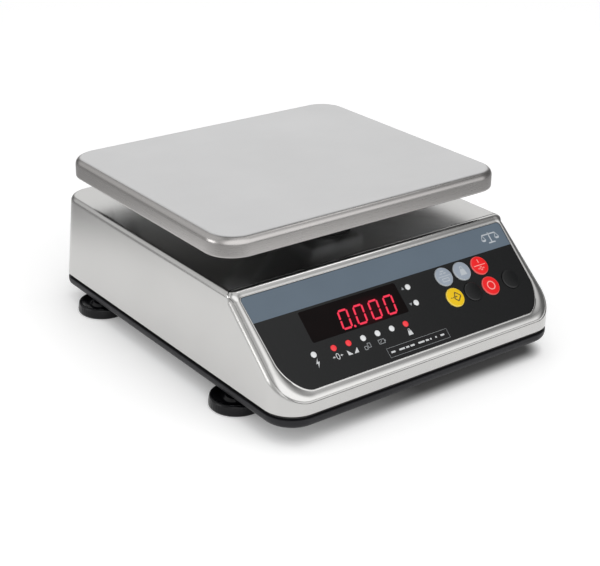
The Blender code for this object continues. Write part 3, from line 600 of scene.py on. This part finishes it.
LOW_STEPS, TOP_STEPS = 24, 8
OUTLINE_COLUMNS = (
    [(1, "low", 90 - 90 * k / LOW_STEPS) for k in range(LOW_STEPS + 1)]
    + [(1, "top", 90 * k / TOP_STEPS) for k in range(TOP_STEPS + 1)]
    + [(-1, "top", 90 - 90 * k / TOP_STEPS) for k in range(TOP_STEPS + 1)]
    + [(-1, "low", 90 * k / LOW_STEPS) for k in range(LOW_STEPS + 1)]
)


def overlay_outline(grow):
    return [overlay_column(*column, grow) for column in OUTLINE_COLUMNS]


BEZEL_DROP = {"side": 1.7, "low": 1.35, "top": 2.2}  # how far its outer edge lies below the slope
CREASE = 0.32  # groove between the bezel and the shell: width, then depth
CREASE_SINK = {"side": 0.34, "low": 0.06, "top": 0.1}
LIP = [(0.0, -0.35), (0.0, 0.26), (0.05, 0.38), (0.16, 0.45), (0.40, 0.45), (0.56, 0.32), (0.70, 0.14)]
BEAD_STEPS = 18
# Slope of the bead in degrees where it starts and where it ends
BEAD_TILTS = ({"side": 14, "low": 1, "top": 13}, {"side": -58, "low": -50, "top": -76})


def eased(values, column):
    """Value for a column of the outline, which turns smoothly from the side's to the corner's end."""
    turn = math.sin(math.radians(column[2])) ** 2
    return values["side"] * (1 - turn) + values[column[1]] * turn


def crease_line():
    """Panel-axes points, one for each outline column, where the bezel's outer edge meets the shell."""
    shell = shell_solid(0.0, SHELL_LOW.z)
    bmesh.ops.recalc_face_normals(shell, faces=shell.faces)
    tree = BVHTree.FromBMesh(shell)
    shell.free()
    outwards, into_panel = PANEL.to_3x3() @ Vector((0, 0, 1)), PANEL.inverted()
    points = []
    for column in OUTLINE_COLUMNS:
        drop = eased(BEZEL_DROP, column)
        near, far = 2.0, 18.0
        for _ in range(24):
            middle = (near + far) / 2
            x, y = overlay_column(*column, middle)
            hit = tree.ray_cast(PANEL @ Vector((x, y, 15)), -outwards)[0]
            above = hit is not None and (into_panel @ hit).z > -drop
            near, far = (middle, far) if above else (near, middle)
        points.append(Vector((*overlay_column(*column, near), -drop)))
    return points


def bezel():
    """Pressed frame round the overlay: a thin lip, then a rounded bead that wraps over the front edge."""
    sections = []
    for column, crease in zip(OUTLINE_COLUMNS, CREASES):
        start = Vector((*overlay_column(*column, GAP), 0))
        tilts = [math.radians(eased(tilt, column)) for tilt in BEAD_TILTS]
        away = (crease - start).xy.normalized().to_3d()
        points = [start + away * x + Vector((0, 0, height)) for x, height in LIP]
        first, last = points[-1], crease - away * CREASE - Vector((0, 0, eased(CREASE_SINK, column)))
        reach = (last - first).length * 0.37
        directions = [away * math.cos(tilt) + Vector((0, 0, math.sin(tilt))) for tilt in tilts]
        curve = interpolate_bezier(first, first + directions[0] * reach, last - directions[1] * reach, last,
                                   BEAD_STEPS + 1)
        points += curve[1:]
        points.append(last - away * 0.5 - Vector((0, 0, 0.7)))
        sections.append(points)
    rings = [[section[k] for section in sections] for k in range(len(sections[0]))]
    piece("panel_bezel", on_panel(loft(rings, loop=True)), "bezel_steel", sharp=60)


def panel_place(node):
    """Middle of a CAD node in panel axes."""
    return PANEL.inverted() @ middle_of(node)


def key_places():
    return {name: panel_place(name) for name in sorted(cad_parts) if name.startswith("key_")}


LAMP_LONE, LAMP_LAST, LAMP_PITCH, LAMP_ROW = -81.8, -5.9, 12.0, 6
LAMP_Y = -49.5
LIMIT_LAMPS = [(10.5, -25.8), (10.5, -38.0)]
WINDOW_HALF_Y, WINDOW_R = 11.0, 1.2


def lamp_places():
    row = [(LAMP_LAST - k * LAMP_PITCH, LAMP_Y) for k in range(LAMP_ROW)]
    return [(LAMP_LONE, LAMP_Y)] + row[::-1]


def window_rectangle(grow=0.0):
    low, high = span("display_window")
    middle = panel_place("display_window")
    half_x, half_y = (high.x - low.x) / 2 + grow, WINDOW_HALF_Y + grow
    return [(x + middle.x, y + middle.y) for x, y, _ in
            rounded_plan(half_x, -half_y, half_y, WINDOW_R + grow, 0.0, steps=5)]


def overlay():
    """Printed film in two fields: the slate strip, and charcoal with openings for lamps and keys."""
    openings = [circle(p.x, p.y, KEY_R + GAP, 48) for p in key_places().values()]
    openings += [circle(x, y, LAMP_R + 0.2, 28) for x, y in lamp_places() + LIMIT_LAMPS]
    openings.append(window_rectangle(0.15))
    whole_width, split = (SHELL_LOW.x, SHELL_HIGH.x), -STRIP_LONG
    upper = block(whole_width, (split, 20), (-2, 2))
    lower = block(whole_width, (-100, split), (-2, 2))
    piece("overlay_field", on_panel(prism(overlay_outline(0.0), -OVERLAY_THICK, 0.0)), "overlay_film",
          stands_for=["front_overlay"],
          cutters=[on_panel(upper)] + [on_panel(prism(outline, -3, 3)) for outline in openings])
    piece("overlay_strip", on_panel(prism(overlay_outline(0.0), -OVERLAY_THICK, 0.0)), "overlay_slate",
          cutters=[on_panel(lower)])
    piece("display_pane", on_panel(prism(window_rectangle(), -OVERLAY_THICK, -0.05)), "window_red",
          stands_for=["display_window"])


# ---- printed marks

def bar(x0, y0, x1, y1, width):
    """Straight stroke as a rectangle."""
    along = Vector((x1 - x0, y1 - y0)).normalized() * width / 2
    across = (-along.y, along.x)
    return [(x0 + across[0], y0 + across[1]), (x0 - across[0], y0 - across[1]),
            (x1 - across[0], y1 - across[1]), (x1 + across[0], y1 + across[1])]


def outline_bars(points, width):
    """Strokes round a closed path."""
    return [bar(*a, *b, width) for a, b in zip(points, points[1:] + points[:1])]


def ruled(x0, y0, x1, y1, width):
    """Strokes round a rectangle."""
    return outline_bars([(x0, y0), (x1, y0), (x1, y1), (x0, y1)], width)


def moved(shapes, x, y, scale=1.0):
    return [[(x + scale * px, y + scale * py) for px, py in shape] for shape in shapes]


def hoop(radius_x, radius_y, width, steps=20):
    """Oval ring as a fan of short strokes."""
    points = [(radius_x * math.cos(2 * math.pi * k / steps), radius_y * math.sin(2 * math.pi * k / steps))
              for k in range(steps)]
    return outline_bars(points, width)


def arrow(x, direction, size):
    """Short arrow on the base line that points along x."""
    tip = x + direction * size
    barb = tip - direction * size * 0.55
    return [bar(x, 0, tip - direction * size * 0.4, 0, size * 0.22),
            [(tip, 0), (barb, size * 0.38), (barb, -size * 0.38)]]


ZERO_SIGN = hoop(0.85, 1.55, 0.42) + arrow(-3.1, 1, 1.6) + arrow(3.1, -1, 1.6)
BOLT_SIGN = [[(0.7, 2.0), (-0.9, -0.2), (-0.05, -0.2), (-0.55, -2.0), (0.95, 0.45), (0.1, 0.45)]]
STABLE_SIGN = [[(-3.2, -1.4), (-0.4, -1.4), (-3.2, 1.4)], [(3.2, -1.4), (0.4, -1.4), (3.2, 1.4)]]
WEIGHT_SIGN = [[(-1.5, -1.7), (1.5, -1.7), (1.0, 0.6), (-1.0, 0.6)]] + moved(hoop(0.6, 0.6, 0.35, 12), 0, 1.1)
STACK_SIGN = ruled(-1.9, -1.5, -0.2, 0.2, 0.35) + ruled(0.4, -0.9, 2.1, 1.4, 0.35)
CELL_SIGN = ruled(-2.0, -1.1, 1.7, 1.1, 0.35)
CELL_SIGN += [bar(2.1, -0.45, 2.1, 0.45, 0.5), bar(-1.1, -0.5, 0.1, 0.5, 0.35)]
UP_SIGN = [[(-1.2, -0.9), (1.2, -0.9), (0, 1.1)]]
DOWN_SIGN = [[(-1.2, 0.9), (0, -1.1), (1.2, 0.9)]]
BALANCE_SIGN = [bar(-5.2, 2.6, 5.2, 2.6, 0.8), bar(0, 3.6, 0, -2.6, 0.8), bar(-2.6, -3.0, 2.6, -3.0, 0.8)]
for hand in (-1, 1):
    BALANCE_SIGN += [[(hand * x, y) for x, y in ((7.0, -0.4), (3.4, -0.4), (4.3, -1.6), (6.1, -1.6))],
                     bar(hand * 5.2, 2.6, hand * 6.6, -0.4, 0.4), bar(hand * 5.2, 2.6, hand * 3.8, -0.4, 0.4)]
INK = 0.05  # how thick the print is
LEGEND_Y = -55.6
DASH_WIDE = 1.2
DASHES = [(3.4, 3.4), (4.6, 1.2), (2.6, 1.2), (3.4, 3.4), (5.2, 1.2), (2.6, 1.2), (1.2, 3.4), (1.2, 3.4),
          (3.2, 0.0)]  # length of each, and the space after it


def printed(name, outlines, finish):
    shapes = [prism(outline, -INK, INK) for outline in outlines]
    piece(name, on_panel(merged(shapes)), finish)


def legends():
    """Generic signs by the lamps, a ruled box of dashes, and a balance in the strip's corner."""
    signs = [BOLT_SIGN, ZERO_SIGN, STABLE_SIGN, STACK_SIGN, CELL_SIGN, None, WEIGHT_SIGN]
    for number, ((x, _), sign) in enumerate(zip(lamp_places(), signs), 1):
        if sign:
            faint = sign in (STACK_SIGN, CELL_SIGN)
            size = 1.7 if sign is BOLT_SIGN else 1.3
            ink = "print_grey" if faint else "print_white"
            printed(f"lamp_sign_{number}", moved(sign, x, LEGEND_Y, size), ink)
    for name, sign, (x, y) in zip(("high", "low"), (UP_SIGN, DOWN_SIGN), LIMIT_LAMPS):
        printed(f"limit_sign_{name}", moved(sign, x - 4.6, y), "print_grey")
    printed("strip_sign", moved(BALANCE_SIGN, 97.4, -9.4, 1.2), "print_pale")
    x0, x1, y0, y1 = -29.6, 22.0, -68.0, -61.4
    printed("rating_box", ruled(x0, y0, x1, y1, 0.22), "print_grey")
    dashes, x, y = [], x0 + 2.2, (y0 + y1) / 2
    for length, space in DASHES:
        dashes.append(bar(x, y, x + length, y, DASH_WIDE))
        x += length + space
    printed("rating_dashes", dashes, "print_white")


# ---- digits and lamps

DIGIT_SLANT = math.radians(8.4)
SEGMENT_HALF_X, SEGMENT_HALF_Y, SEGMENT_WIDE = 3.45, 6.3, 1.4


def segment(x0, y0, x1, y1):
    """Bar with pointed ends between two corners of a digit, leaving a slit at each."""
    start, end = Vector((x0, y0)), Vector((x1, y1))
    along = (end - start).normalized()
    across = Vector((-along.y, along.x)) * SEGMENT_WIDE / 2
    start, end = start + along * 0.28, end - along * 0.28
    back = along * SEGMENT_WIDE * 0.36
    points = [start, start + back - across, end - back - across,
              end, end - back + across, start + back + across]
    return [(p.x + p.y * math.tan(DIGIT_SLANT), p.y) for p in points]


def digits():
    """Lit zeros in the last four places, with the point after the first of them."""
    w, h = SEGMENT_HALF_X, SEGMENT_HALF_Y
    loop = [(-w, h), (w, h), (w, 0), (w, -h), (-w, -h), (-w, 0)]
    zero = [segment(*a, *b) for a, b in zip(loop, loop[1:] + loop[:1])]
    for number in range(3, 7):
        place = panel_place(f"led_digit_{number}")
        bars = [prism(outline, -0.045, 0.02) for outline in moved(zero, place.x, place.y)]
        piece(f"digit_segments_{number}", on_panel(merged(bars)), "digit_lit")
    place = panel_place("led_digit_3")
    dot = prism(circle(place.x + 4.7, place.y - h - 0.2, 0.85, 20), -0.045, 0.02)
    piece("digit_point", on_panel(dot), "digit_lit")


def lamps(name, places, lit, node):
    """Light guide: one bar behind the panel, and a round lens on a post for each lamp."""
    xs, ys = [p[0] for p in places], [p[1] for p in places]
    shapes = [block((min(xs) - 3, max(xs) + 3), (min(ys) - 3, max(ys) + 3), (-5.2, -3.4))]
    profile = [(0, -3.5), (LAMP_R, -3.5), (LAMP_R, -0.05)]
    profile += [(LAMP_R * math.cos(math.radians(a)), 0.5 * math.sin(math.radians(a)))
                for a in range(10, 91, 16)]
    for k, (x, y) in enumerate(places):
        shape = turned(profile + [(0, 0.5)], x, y, 32)
        for face in shape.faces:
            face.material_index = 1 if k in lit else 0
        shapes.append(shape)
    piece(name, on_panel(merged(shapes)), ["lamp_white", "lamp_red"], stands_for=[node], sharp=50)


# ---- keys

KEY_STEPS = 56
LAST_HIDDEN_ROW = 5  # of a key's profile: up to here it is under the overlay


def crown(radius):
    """Height of a key's face over the overlay at a distance from its middle."""
    return KEY_CROWN - 0.28 * (radius / KEY_R) ** 2


def key_signs():
    divider = [bar(-5.2, 0.1, 5.2, 0.1, 0.5)]
    minis = [bar(-2.8, 2.3, -0.6, 2.3, 0.8), bar(0.5, 2.3, 2.6, 2.3, 0.8), bar(-1.6, 4.0, 1.4, 4.0, 0.8)]
    lower = moved(ruled(-2.8, -1.1, 2.8, 1.1, 0.6), 0, -2.7)
    diamond = outline_bars([(1.0, 3.4), (4.6, 0), (1.0, -3.4), (-1.4, -1.0)], 0.8)
    arrow_in = [bar(-4.0, 0, -3.2, 0, 0.8), bar(-2.6, 0, -1.8, 0, 0.8), bar(-1.2, 0, 1.4, 0, 0.8)]
    return {
        "key_function": (divider + minis + lower, "print_pale"),
        "key_unit": (moved(WEIGHT_SIGN, 0, 0, 1.9), "print_pale"),
        "key_zero": (divider + [bar(0, 1.9, 0, 4.6, 0.65)] + moved(ZERO_SIGN, 0, -2.4, 0.95), "print_rose"),
        "key_tare": (diamond + arrow_in, "print_dark"),
        "key_off": (hoop(3.0, 3.0, 0.75, 36), "print_rose"),
    }


def keys():
    """Round key with a lighter rim, which is a painted highlight on its rounded edge, a low crown and its
    sign laid on the crown.
    """
    colours = {"key_function": "grey", "key_unit": "grey", "key_zero": "red", "key_off": "red",
               "key_tare": "yellow", "key_blank_middle": "black", "key_blank_right": "black"}
    signs = key_signs()
    for name, place in key_places().items():
        colour = colours[name]
        ringed = colour != "black"
        edge = KEY_R - (0.45 if ringed else 0.8)
        side = [(0, -4.0), (2, -4.0), (2, -2.4), (KEY_R + 0.5, -2.4), (KEY_R + 0.5, -1.3), (KEY_R, -1.3)]
        side += [(KEY_R, 0.1), (KEY_R - 0.06, crown(KEY_R) - 0.3), (KEY_R - 0.2, crown(KEY_R) - 0.08),
                 (edge, crown(edge))]
        face = [(edge - 0.06, crown(edge) - 0.05)] if ringed else []
        face += [(r, crown(r)) for r in (edge - 0.3, 5.4, 4.2, 3.0, 1.6)] + [(0, KEY_CROWN)]
        shape = turned(side + face, place.x, place.y, KEY_STEPS)
        shape.verts.index_update()
        for polygon in shape.faces:
            row = max(vert.index // KEY_STEPS for vert in polygon.verts)
            # The rounded edge above the overlay takes the lighter rim colour, a painted highlight.
            polygon.material_index = 1 if ringed and LAST_HIDDEN_ROW < row < len(side) else 0
        finishes = ["key_" + colour, "rim_" + colour] if ringed else ["key_" + colour]
        piece(name + "_cap", on_panel(shape), finishes, name, [name], sharp=50)
        if name in signs:
            outlines, finish = signs[name]
            marks = merged([prism(outline, 0.0, INK) for outline in outlines])
            bmesh.ops.subdivide_edges(marks, edges=[e for e in marks.edges if e.calc_length() > 1.2], cuts=3,
                                      use_grid_fill=True)
            for vert in marks.verts:
                vert.co.z += crown(vert.co.xy.length) - 0.01
            marks.transform(Matrix.Translation((place.x, place.y, 0)))
            piece(name + "_sign", on_panel(marks), finish, name)


# ---- base and feet

def base_plan(inset, z):
    """Outline of the base, set in, at a height."""
    half_x, half_y = SHELL_HIGH.x - inset, SHELL_HIGH.y - inset
    return rounded_plan(half_x, -half_y, half_y, SHELL_FRONT_R - inset, z, back_radius=SHELL_BACK_R - inset)


FOOT_HOLE_R, STOP_HOLE_R = 4.4, 3.5


def base_tray():
    """Shallow tray with a rounded band, an inner lip and screw wells."""
    low, band_top, floor = BASE_LOW.z, GASKET_LOW.z - GAP, BASE_LOW.z + 3.0
    lip, lip_top = 5.9, BASE_HIGH.z
    edge = [(4.2 + x, low + 4.2 + y) for x, y in arc((0, 0), 4.2, 262, 184, 8)]
    rings = [(6.0, low)] + edge + [(0.0, low + 4.6), (0.0, band_top - LOW_EDGE), (LOW_EDGE, band_top),
                                   (lip, band_top), (lip, lip_top), (lip + 2, lip_top), (lip + 2, floor)]
    feet = [middle_of(f"foot_disc_{name}") for name in FEET]
    screws = [middle_of(f"housing_screw_{name}") for name in FEET]
    cell_screws = [middle_of("cell_screw_1"), middle_of("cell_screw_2")]
    cutters = [prism(circle(p.x, p.y, FOOT_HOLE_R, 32), low - 1, lip_top + 2) for p in feet]
    for well, bore, places in ((4.6, 2.4, screws), (5.6, 3.5, cell_screws)):
        cutters += [prism(circle(p.x, p.y, well, 32), low - 1, low + 2.0) for p in places]
        cutters += [prism(circle(p.x, p.y, bore, 24), low - 2, lip_top + 1) for p in places]
    cutters.append(prism(circle(POST.x, POST.y, STOP_HOLE_R, 24), low - 1, floor + 1))
    hatch_low, hatch_high = span("battery_hatch")
    cutters.append(block((hatch_low.x - GAP, hatch_high.x + GAP), (hatch_low.y - GAP, hatch_high.y + GAP),
                         (low - 1, floor + 1)))
    piece("base_pan", loft([base_plan(inset, z) for inset, z in rings]), "base_plastic",
          stands_for=["base_tray"], cutters=cutters)


# Black rubber ring set back in the gap between the shell and the base: a dark part that paints the gap's
# shadow line.
def base_gasket():
    low, high = GASKET_LOW.z, GASKET_HIGH.z
    middle, half = (low + high) / 2, (high - low) / 2
    profile = [(1.5 + half * (1 - math.sin(math.radians(a))), middle + half * math.cos(math.radians(a)))
               for a in range(0, 181, 30)] + [(5.1, low), (5.1, high)]
    piece("shadow_gap_ring", loft([base_plan(inset, z) for inset, z in profile], loop=True), "black_rubber",
          stands_for=["base_gasket"], sharp=60)


FEET = ("front_left", "front_right", "back_left", "back_right")


def fluting(angle, flutes=48, depth=0.010):
    """Share of a foot's radius that is left at an angle."""
    return 1 - depth * (0.5 - 0.5 * math.cos(flutes * angle))


def feet():
    """Disc with a finely fluted rim and a dished top."""
    for name in FEET:
        low, high = span(f"foot_disc_{name}")
        radius, top = (high.x - low.x) / 2, high.z
        profile = [(0, 0), (radius - 1.6, 0), (radius - 0.7, 0.25), (radius - 0.15, 0.9), (radius, 1.8, 1),
                   (radius - 0.25, 3.8, 1), (radius - 0.6, top - 1.3, 1), (radius - 0.85, top - 0.5),
                   (radius - 1.35, top - 0.12), (radius - 2.0, top), (radius - 2.8, top - 0.15),
                   (radius - 3.8, top - 0.7), (11.4, top - 2.5), (9.6, top - 2.6), (8.4, top - 1.8),
                   (7.9, top - 0.3), (7.4, top), (4.4, top), (4.4, 2.5), (0, 2.5)]
        shape = turned(profile, (low.x + high.x) / 2, (low.y + high.y) / 2, 192, fluting)
        piece(f"foot_pad_{name}", shape, "foot_plastic", f"disc_{name}", [f"foot_disc_{name}"], sharp=50)


# ---- CAD nodes that stay

STAY = {
    "cast_aluminium": ["pan_spider"],
    "machined_aluminium": ["top_spacer", "load_cell", "bottom_spacer"],
    "zinc_steel": ["spider_screw_1", "spider_screw_2", "cell_screw_1", "cell_screw_2", "overload_stop",
                   "hatch_screw", "battery_bracket"] + [f"housing_screw_{n}" for n in FEET]
                  + [f"foot_stud_{n}" for n in FEET],
    "black_rubber": [f"pan_buffer_{k}" for k in range(1, 5)] + ["dust_boot", "gauge_potting"],
    "base_plastic": ["battery_hatch", "power_socket", "panel_carrier"],
    "board_green": ["display_board", "keypad_board", "main_board"],
    "digit_face": [f"led_digit_{k}" for k in range(1, 7)],
    "battery_case": ["battery"],
    "vial_green": ["level_vial"],
    "lead_grey": ["load_cell_lead", "display_ribbon"],
}


def dress_cad_nodes():
    """Give the CAD nodes that still show their finish, and soften the edges of three of them."""
    for finish, names in STAY.items():
        for name in names:
            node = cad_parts[name]
            node.data.materials.clear()
            node.data.materials.append(look(finish))
    for name in ("pan_spider", "battery_bracket", "battery"):
        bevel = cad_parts[name].modifiers.new("soft edges", "BEVEL")
        bevel.width, bevel.segments, bevel.limit_method = 0.0006, 2, "ANGLE"
        bevel.angle_limit = math.radians(40)


# ---- studio

# Metres and degrees from here on
CAMERA_AZIMUTH, CAMERA_ELEVATION, CAMERA_ROLL = -37.2936, 24.4653, 0.928
CAMERA_DISTANCE, CAMERA_RIGHT, CAMERA_UP = 0.97243, 0.01223, -0.08687
CAMERA_LENS = 81.706  # millimetres, on a sensor 36 wide
LIGHTS_AIM = Vector((0, 0, 0.06))


def bearing(azimuth, elevation):
    """Unit vector from the scale; azimuth 0 is the front and 90 the right."""
    a, e = math.radians(azimuth), math.radians(elevation)
    return Vector((math.sin(a) * math.cos(e), -math.cos(a) * math.cos(e), math.sin(e)))


def camera():
    """Camera that looks at the pan from the front left, from above."""
    back, right = bearing(CAMERA_AZIMUTH, CAMERA_ELEVATION), bearing(CAMERA_AZIMUTH + 90, 0)
    up, roll = back.cross(right), math.radians(CAMERA_ROLL)
    x_axis = right * math.cos(roll) + up * math.sin(roll)
    y_axis = up * math.cos(roll) - right * math.sin(roll)
    target = Vector((0, (PAN_LOW.y + PAN_HIGH.y) / 2, PAN_HIGH.z)) * MM
    place = target + x_axis * CAMERA_RIGHT + y_axis * CAMERA_UP + back * CAMERA_DISTANCE
    data = bpy.data.cameras.new("camera")
    data.lens, data.sensor_width, data.sensor_fit = CAMERA_LENS, 36.0, "HORIZONTAL"
    thing = bpy.data.objects.new("camera", data)
    axes = Matrix((x_axis, y_axis, back)).transposed()
    thing.matrix_world = Matrix.Translation(place) @ axes.to_4x4()
    bpy.context.scene.collection.objects.link(thing)
    bpy.context.scene.camera = thing


def softbox(name, azimuth, elevation, distance, size, brightness, reflected=True):
    """Rectangular light at a distance from the scale, facing it; brightness is its radiance."""
    away = bearing(azimuth, elevation)
    data = bpy.data.lights.new(name, "AREA")
    data.shape, data.size, data.size_y = "RECTANGLE", size[0], size[1]
    data.energy = brightness * math.pi * size[0] * size[1]
    thing = bpy.data.objects.new(name, data)
    thing.location = LIGHTS_AIM + away * distance
    thing.rotation_mode = "QUATERNION"
    thing.rotation_quaternion = away.to_track_quat("Z", "Y")
    thing.visible_glossy = reflected
    bpy.context.scene.collection.objects.link(thing)


# Bright parts of the surroundings: axis, cosines where each begins and is full, and radiance over
# the dark; where they overlap, the brightest one counts
SURROUND_DARK = 0.16
BACKDROP = ((0.55, 0.73, 0.37), (0.84, 0.96), 0.86)
CANOPY = ((0.25, -0.20, 0.95), (0.86, 0.96), 0.66)
BACK_LEFT = ((-0.50, 0.55, 0.67), (0.72, 0.92), 0.60)
LEFT_WALL = ((-0.95, -0.25, 0.20), (0.40, 0.80), 0.43)
FRONT_WALL = ((-0.15, -0.94, 0.28), (0.35, 0.76), 1.30)


def surroundings():
    """Studio that lights the scale and shows in its reflections."""
    world = bpy.data.worlds.new("surroundings")
    world.use_nodes = True
    nodes = world.node_tree.nodes
    outwards = nodes.new("ShaderNodeTexCoord").outputs["Generated"]
    brightest = None
    for axis, (begins, full), radiance in (BACKDROP, CANOPY, BACK_LEFT, LEFT_WALL, FRONT_WALL):
        facing = vector_step(nodes, "DOT_PRODUCT", outwards, Vector(axis).normalized())
        level = ranged(nodes, facing, 0.0, radiance, begins, full, soft=True)
        brightest = level if brightest is None else combined(nodes, "MAXIMUM", level, brightest)
    nodes["Background"].inputs["Color"].default_value = (1, 1, 1, 1)
    join(combined(nodes, "ADD", brightest, SURROUND_DARK), nodes["Background"].inputs["Strength"])
    bpy.context.scene.world = world


FLOOR_WHITE, FLOOR_LIFT = 0.90, 0.25  # its colour, and its own glow
# For glossy rays the floor is painted darker beyond FLOOR_NEAR, down to FLOOR_FAR_SHARE of its white at
# FLOOR_FAR: painted shade in its reflections.
FLOOR_NEAR, FLOOR_FAR, FLOOR_FAR_SHARE = 0.27, 0.42, 0.38
SHADOW_PATCH_HALF, SHADOW_PATCH_INSIDE, SHADOW_PATCH_OUTSIDE = (0.098, 0.121, 0.0), 0.008, 0.023  # painted shadow under the scale, and its fade
SHADOW_PATCH_LEFT, SHADOW_PATCH_RIGHT, SHADOW_PATCH_SHARES = -0.110, 0.005, (0.82, 0.12)  # share of white left in the painted shadow, from its left to its right


def floor_material():
    """White sweep with a painted shadow under the scale; in reflections it is painted darker away from the
    scale, as the light on a lit table falls off.
    """
    material, nodes, shader = new_material("floor_white")
    place = nodes.new("ShaderNodeTexCoord").outputs["Object"]
    distance = vector_step(nodes, "LENGTH", place)
    share = nodes.new("ShaderNodeMix")
    share.inputs["A"].default_value = 1.0
    join(ranged(nodes, distance, 1.0, FLOOR_FAR_SHARE, FLOOR_NEAR, FLOOR_FAR, soft=True),
         share.inputs["B"])
    join(nodes.new("ShaderNodeLightPath").outputs["Is Glossy Ray"], share.inputs["Factor"])
    beyond = vector_step(nodes, "SUBTRACT", vector_step(nodes, "ABSOLUTE", place), SHADOW_PATCH_HALF)
    beyond = vector_step(nodes, "LENGTH", vector_step(nodes, "MAXIMUM", beyond))
    # Painted shadow under the scale: inside the rounded box the floor keeps only a share of its white, more
    # of it towards the left.
    under = ranged(nodes, beyond, 0.0, 1.0, SHADOW_PATCH_INSIDE, SHADOW_PATCH_OUTSIDE, soft=True)
    sides = nodes.new("ShaderNodeSeparateXYZ")
    join(place, sides.inputs["Vector"])
    join(ranged(nodes, sides.outputs["X"], *SHADOW_PATCH_SHARES, SHADOW_PATCH_LEFT, SHADOW_PATCH_RIGHT),
         under.node.inputs["To Min"])
    tone = nodes.new("ShaderNodeVectorMath")
    tone.operation = "SCALE"
    tone.inputs[0].default_value = (FLOOR_WHITE, FLOOR_WHITE, FLOOR_WHITE)
    join(combined(nodes, "MULTIPLY", share.outputs["Result"], under), tone.inputs["Scale"])
    for socket in ("Base Color", "Emission Color"):
        join(tone.outputs["Vector"], shader.inputs[socket])
    settle(shader, {"Emission Strength": FLOOR_LIFT, "Roughness": 0.7, "Specular IOR Level": 0.0})
    return material


def studio():
    """White floor, surroundings and softboxes."""
    bpy.context.scene.view_settings.view_transform = "Standard"
    surroundings()
    bpy.ops.mesh.primitive_plane_add(size=12.0, location=(0, 0, -0.0001))
    floor = bpy.context.active_object
    floor.name = "floor"
    floor.data.materials.append(floor_material())
    softbox("left softbox", -106, 8, 1.3, (0.62, 0.50), 2.3)
    softbox("back softbox", 85, 57, 1.2, (0.22, 0.22), 1.7)
    softbox("overhead softbox", 20, 84, 1.3, (0.9, 0.9), 1.15, reflected=False)


# ---- build

camera()
studio()
CREASES = crease_line()
weighing_pan()
top_housing()
bezel()
overlay()
legends()
digits()
lamps("indicator_lamps", lamp_places(), (1, 2, 6), "indicator_light_guide")
lamps("limit_lamps", LIMIT_LAMPS, (), "limit_light_guide")
keys()
base_tray()
base_gasket()
feet()
dress_cad_nodes()
